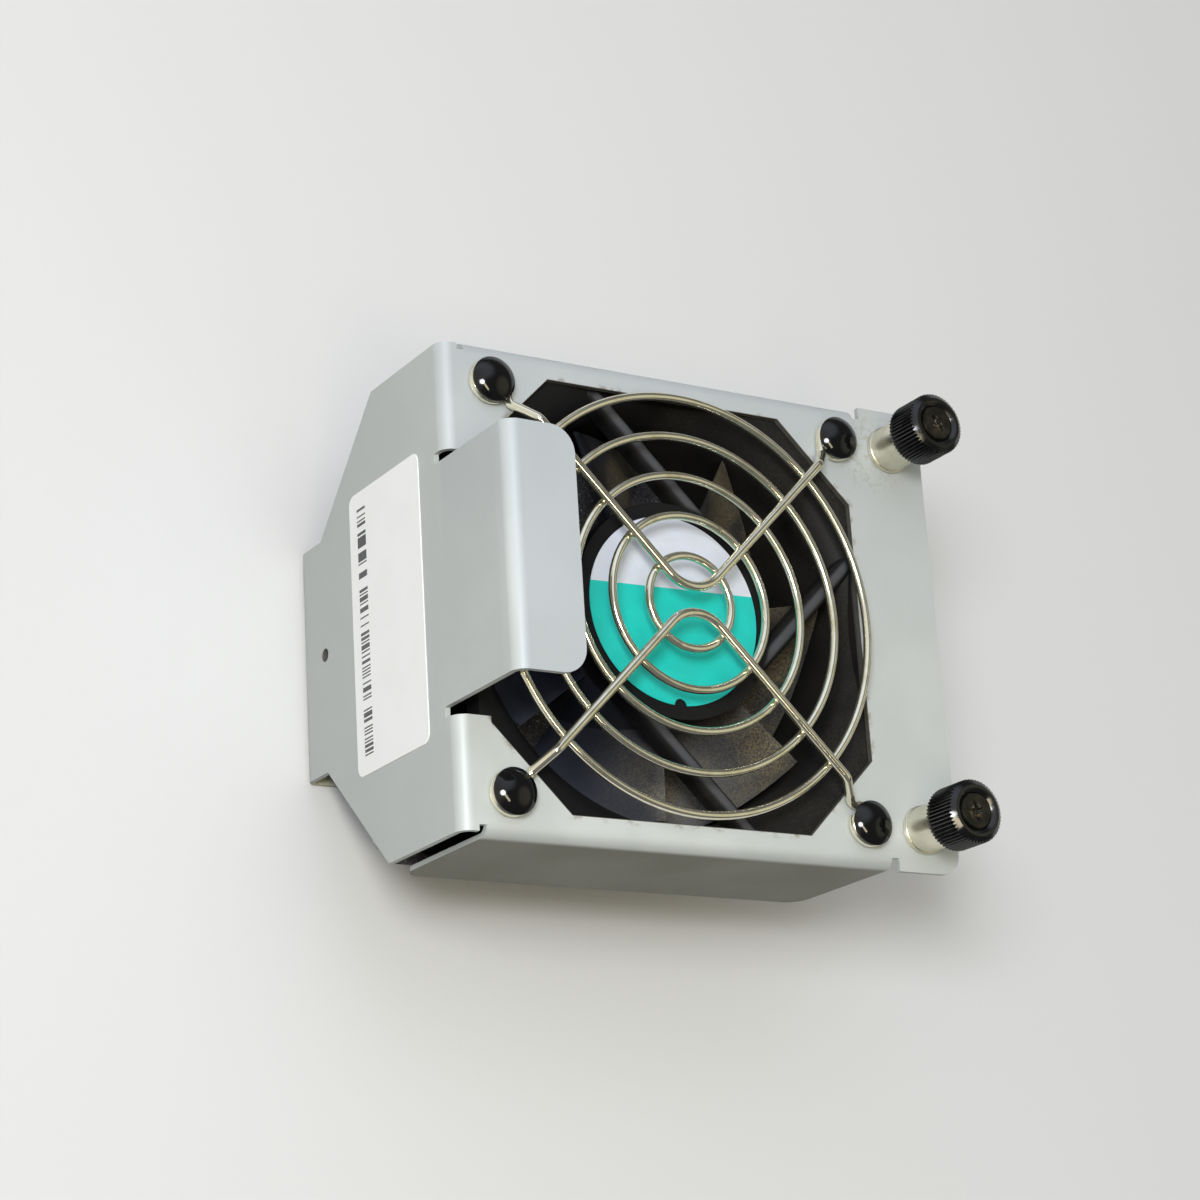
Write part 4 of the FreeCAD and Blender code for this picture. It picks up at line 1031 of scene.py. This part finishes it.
def screw_shape(y, turn):
    """A head with a cross recess, a plain neck and a helical thread."""
    rows = 46
    groove_half = 0.42
    tip_share = 0.78
    tip_length = 0.45
    tip_flat = 0.55
    tip = screw_low.z

    def thread(r, z, angle):
        if r < THREAD_R - NEAR or z > THREAD_TOP + NEAR:
            return r, z
        phase = (z / THREAD_PITCH - angle / (2 * math.pi)) % 1.0
        cut = THREAD_DEPTH * max(0.0, 1 - abs(phase - 0.5) / groove_half)
        taper = tip_share + (1 - tip_share) * min(1.0, (z - tip) / tip_length)
        return (THREAD_R - cut) * taper, z

    outline = [(HEAD_R, screw_high.z - HEAD_EDGE), (HEAD_R, KNOB_FLOOR), (NECK, KNOB_FLOOR),
               (NECK, THREAD_TOP)]
    outline += [(THREAD_R, THREAD_TOP + (tip - THREAD_TOP) * i / rows) for i in range(rows + 1)]
    outline += [(THREAD_R * tip_flat, tip), (0, tip)]
    return joined(head_shape(y, turn), lathe(outline, 0, y, HEAD_SEGMENTS, shape=thread))


def collar_shape(y):
    """A flanged collar with a spring bore, pressed into the sheet by its shank."""
    barrel = 4.15
    bore = 3.3
    shank = 3.6
    hole = 1.55
    base_height = 1.0
    under_ease = 0.3
    base_ease = 0.2
    inner_ease = 0.05
    brim_ease = 0.3
    bore_ease = 0.25
    segments = 96
    base = (collar_high.x - collar_low.x) / 2
    base_top = SHEET + base_height
    floor = coil_low.z
    top = collar_high.z
    outline = profile([
        (hole, 0), (shank, 0), (shank, SHEET), (base, SHEET, under_ease), (base, base_top, base_ease),
        (barrel, base_top, inner_ease), (barrel, top, brim_ease), (bore, top, bore_ease), (bore, floor),
        (hole, floor), (hole, 0)])
    return lathe(outline[:-1], 0, y, segments, closed=True)


def spring_shape(y):
    """A coil with closed ends between the collar's floor and the knob."""
    wire = 0.3
    turns = 7.5
    closed_share = 0.1
    closed_rise = 0.06
    steps = 360
    sides = 10
    mean = (coil_high.x - coil_low.x) / 2 - wire
    height = coil_high.z - coil_low.z - 2 * wire
    path = []
    for i in range(steps + 1):
        share = i / steps
        climb = min(1.0, max(0.0, (share - closed_share) / (1 - 2 * closed_share)))
        angle = 2 * math.pi * turns * share
        z = coil_low.z + wire + height * (closed_rise * share + (1 - closed_rise) * climb)
        path.append(Vector((mean * math.cos(angle), y + mean * math.sin(angle), z)))
    return tube(path, wire, sides)


for hand, y in (("left", SCREW_Y), ("right", -SCREW_Y)):
    screw_body = f"{hand}_thumbscrew"
    piece(f"{hand}_collar_turned", collar_shape(y), COLLAR, "tray", f"{hand}_collar")
    screw = screw_shape(y, CROSS_TURNS[hand])
    piece(f"{hand}_screw_turned", screw, SCREW, screw_body, f"{hand}_screw", sharp=30)
    piece(f"{hand}_knob_grip", knob_shape(y), KNOB, screw_body, f"{hand}_knob", sharp=28)
    coil = piece(f"{hand}_spring_coil", spring_shape(y), SPRING, f"{hand}_plunger",
                 f"{hand}_spring", WIRE_SHARP)
    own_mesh(coil)


# Inner pieces keep their CAD shape

slots = {row["node"]: row["material_slot"] for row in frame["record"]["subparts"]}
for name, obj in NODES.items():
    if not obj.hide_render:
        obj.data.materials.clear()
        obj.data.materials.append(INNER[slots[name]])


# Floor, and the riser with a foam pad that carries the fan

FLOOR_HALF = 4000
FLOOR_DEPTH = 20
RISER_LOW_X = -80
RISER_HIGH_X = -12
RISER_HALF = 32
RISER_SUNK = 5
PAD_LOW_X = -91.2
PAD_HIGH_X = -8
PAD_HALF = 41.3
PAD_GAP = 0.05
PAD_DEPTH = 3
PAD_TOP = FAN_BOTTOM - PAD_GAP
PAD_LOW = PAD_TOP - PAD_DEPTH


def floor_look():
    """A pale floor that keeps the object's shadow, throws little light back and stays pale far off."""
    pale = (0.61, 0.61, 0.615)
    paler = (0.64, 0.64, 0.645)
    unseen = (0.14, 0.14, 0.14)
    glow = (0.72, 0.72, 0.73, 1)
    near = 250
    far = 1500
    look = Look("floor_pale", Roughness=0.9, Specular_IOR_Level=0.0, Emission_Color=glow)
    path = look.nodes.new("ShaderNodeLightPath")
    seen = look.math("MAXIMUM", path.outputs["Is Camera Ray"], path.outputs["Is Glossy Ray"])
    seen = look.math("MAXIMUM", seen, path.outputs["Is Transmission Ray"])
    look.colour(look.mix(seen, unseen, look.mix(look.noise(0.004, 2), pale, paler)))
    far_off = look.fade(look.reach(0, 0), near, far)
    look.feed(look.shader.inputs["Emission Strength"], look.times(seen, far_off, 0.6))
    return look.material


def foam_look():
    """Dark foam with pale specks."""
    dark = (0.04, 0.04, 0.045)
    grey = (0.11, 0.11, 0.12)
    pale = (0.6, 0.6, 0.62)
    look = Look("foam_grey", Roughness=0.9)
    grain = look.fade(look.noise(2.0, 4, 0.7), 0.45, 0.7)
    specks = look.fade(look.noise(3.4, 1, 0.5, shift=4), 0.68, 0.76)
    look.colour(look.mix(specks, look.mix(grain, dark, grey), pale))
    look.bump(grain, 0.4, 0.4)
    return look.material


def stage_block(name, low, high, look, edge):
    """A block with rounded edges that isn't part of the object."""
    bm = bmesh.new()
    bmesh.ops.create_cube(bm, size=1)
    for v in bm.verts:
        v.co = Vector([(low[k] + high[k]) / 2 + v.co[k] * (high[k] - low[k]) for k in range(3)]) * MM
    bmesh.ops.bevel(bm, geom=bm.edges[:], offset=edge * MM, segments=4, affect="EDGES", profile=0.5)
    mesh = finished(bm, name, sharp=35)
    mesh.materials.append(look)
    add_object(name, mesh)


FLOOR = floor_look()
stage_block("floor", (-FLOOR_HALF, -FLOOR_HALF, BOTTOM_Z - FLOOR_DEPTH),
            (FLOOR_HALF, FLOOR_HALF, BOTTOM_Z), FLOOR, edge=1)
stage_block("riser", (RISER_LOW_X, -RISER_HALF, BOTTOM_Z - RISER_SUNK),
            (RISER_HIGH_X, RISER_HALF, PAD_LOW), FLOOR, edge=1.5)
stage_block("riser_pad", (PAD_LOW_X, -PAD_HALF, PAD_LOW), (PAD_HIGH_X, PAD_HALF, PAD_TOP),
            foam_look(), edge=0.5)


# Lamps, placed in metres, and the world's light

LAMP_AIM = Vector((-0.045, 0, 0))


def area_light(name, spot, width, height, power, tint, shape="RECTANGLE"):
    """A soft lamp that points at the middle of the tray."""
    light = bpy.data.lights.new(name, "AREA")
    light.shape = shape
    light.size = width
    light.size_y = height
    light.energy = power
    light.color = tint
    obj = add_object(name, light)
    obj.location = spot
    obj.rotation_mode = "QUATERNION"
    obj.rotation_quaternion = (LAMP_AIM - obj.location).to_track_quat("-Z", "Y")
    return obj


overhead = area_light("overhead", spot=(0.0, 0.25, 1.0), width=0.9, height=0.7, power=1.9,
                      tint=(0.95, 0.98, 1.0))
overhead.visible_glossy = False
area_light("window", spot=(-0.625, -0.05, 0.81), width=0.30, height=0.30, power=7.1,
           tint=(0.93, 0.965, 1.0), shape="DISK")
area_light("glow", spot=(-0.425, -0.30, 0.87), width=0.62, height=0.10, power=2.7, tint=(1.0, 0.90, 0.64))


def world_light():
    """A dim room: a warm wall behind the window, cool and cream patches beyond, a pale horizon."""
    dim = (0.11, 0.11, 0.115)
    cool = (0.90, 0.98, 1.15)
    cream = (0.60, 0.575, 0.42)
    warm = (0.74, 0.72, 0.65)
    pale = (0.62, 0.62, 0.63)
    world = bpy.data.worlds.new("studio")
    bpy.context.scene.world = world
    world.use_nodes = True
    graph = Graph(world.node_tree)
    coords = graph.nodes.new("ShaderNodeTexCoord")

    def patch(direction, start, full):
        dot = graph.nodes.new("ShaderNodeVectorMath")
        dot.operation = "DOT_PRODUCT"
        dot.inputs[1].default_value = Vector(direction).normalized()
        graph.links.new(coords.outputs["Generated"], dot.inputs[0])
        return graph.fade(dot.outputs["Value"], start, full)

    room = graph.mix(patch((-0.38, 0.62, 0.68), start=0.72, full=0.97), dim, cool)
    room = graph.mix(patch((0.70, -0.10, 0.71), start=0.84, full=0.97), room, cream)
    room = graph.mix(patch((-0.92, 0.05, 0.38), start=0.60, full=0.95), room, warm)
    room = graph.mix(patch((0, 0, -1), start=-0.10, full=-0.02), room, pale)
    graph.links.new(room, graph.nodes["Background"].inputs["Color"])


world_light()


# Camera, placed in metres where the rivets in the photo put it

CAMERA_SENSOR = 36
CAMERA_LENS = 87.62
CAMERA_NEAR = 0.01
CAMERA_SPOT = (-0.31553, -0.15076, 0.39662)
CAMERA_TURN = (0.949573, 0.156905, -0.271126, 0.013499)

camera = bpy.data.cameras.new("camera")
camera.sensor_width = CAMERA_SENSOR
camera.lens = CAMERA_LENS
camera.clip_start = CAMERA_NEAR
eye = add_object("camera", camera)
eye.rotation_mode = "QUATERNION"
eye.location = CAMERA_SPOT
eye.rotation_quaternion = CAMERA_TURN
bpy.context.scene.camera = eye
bpy.context.scene.view_settings.view_transform = "Standard"
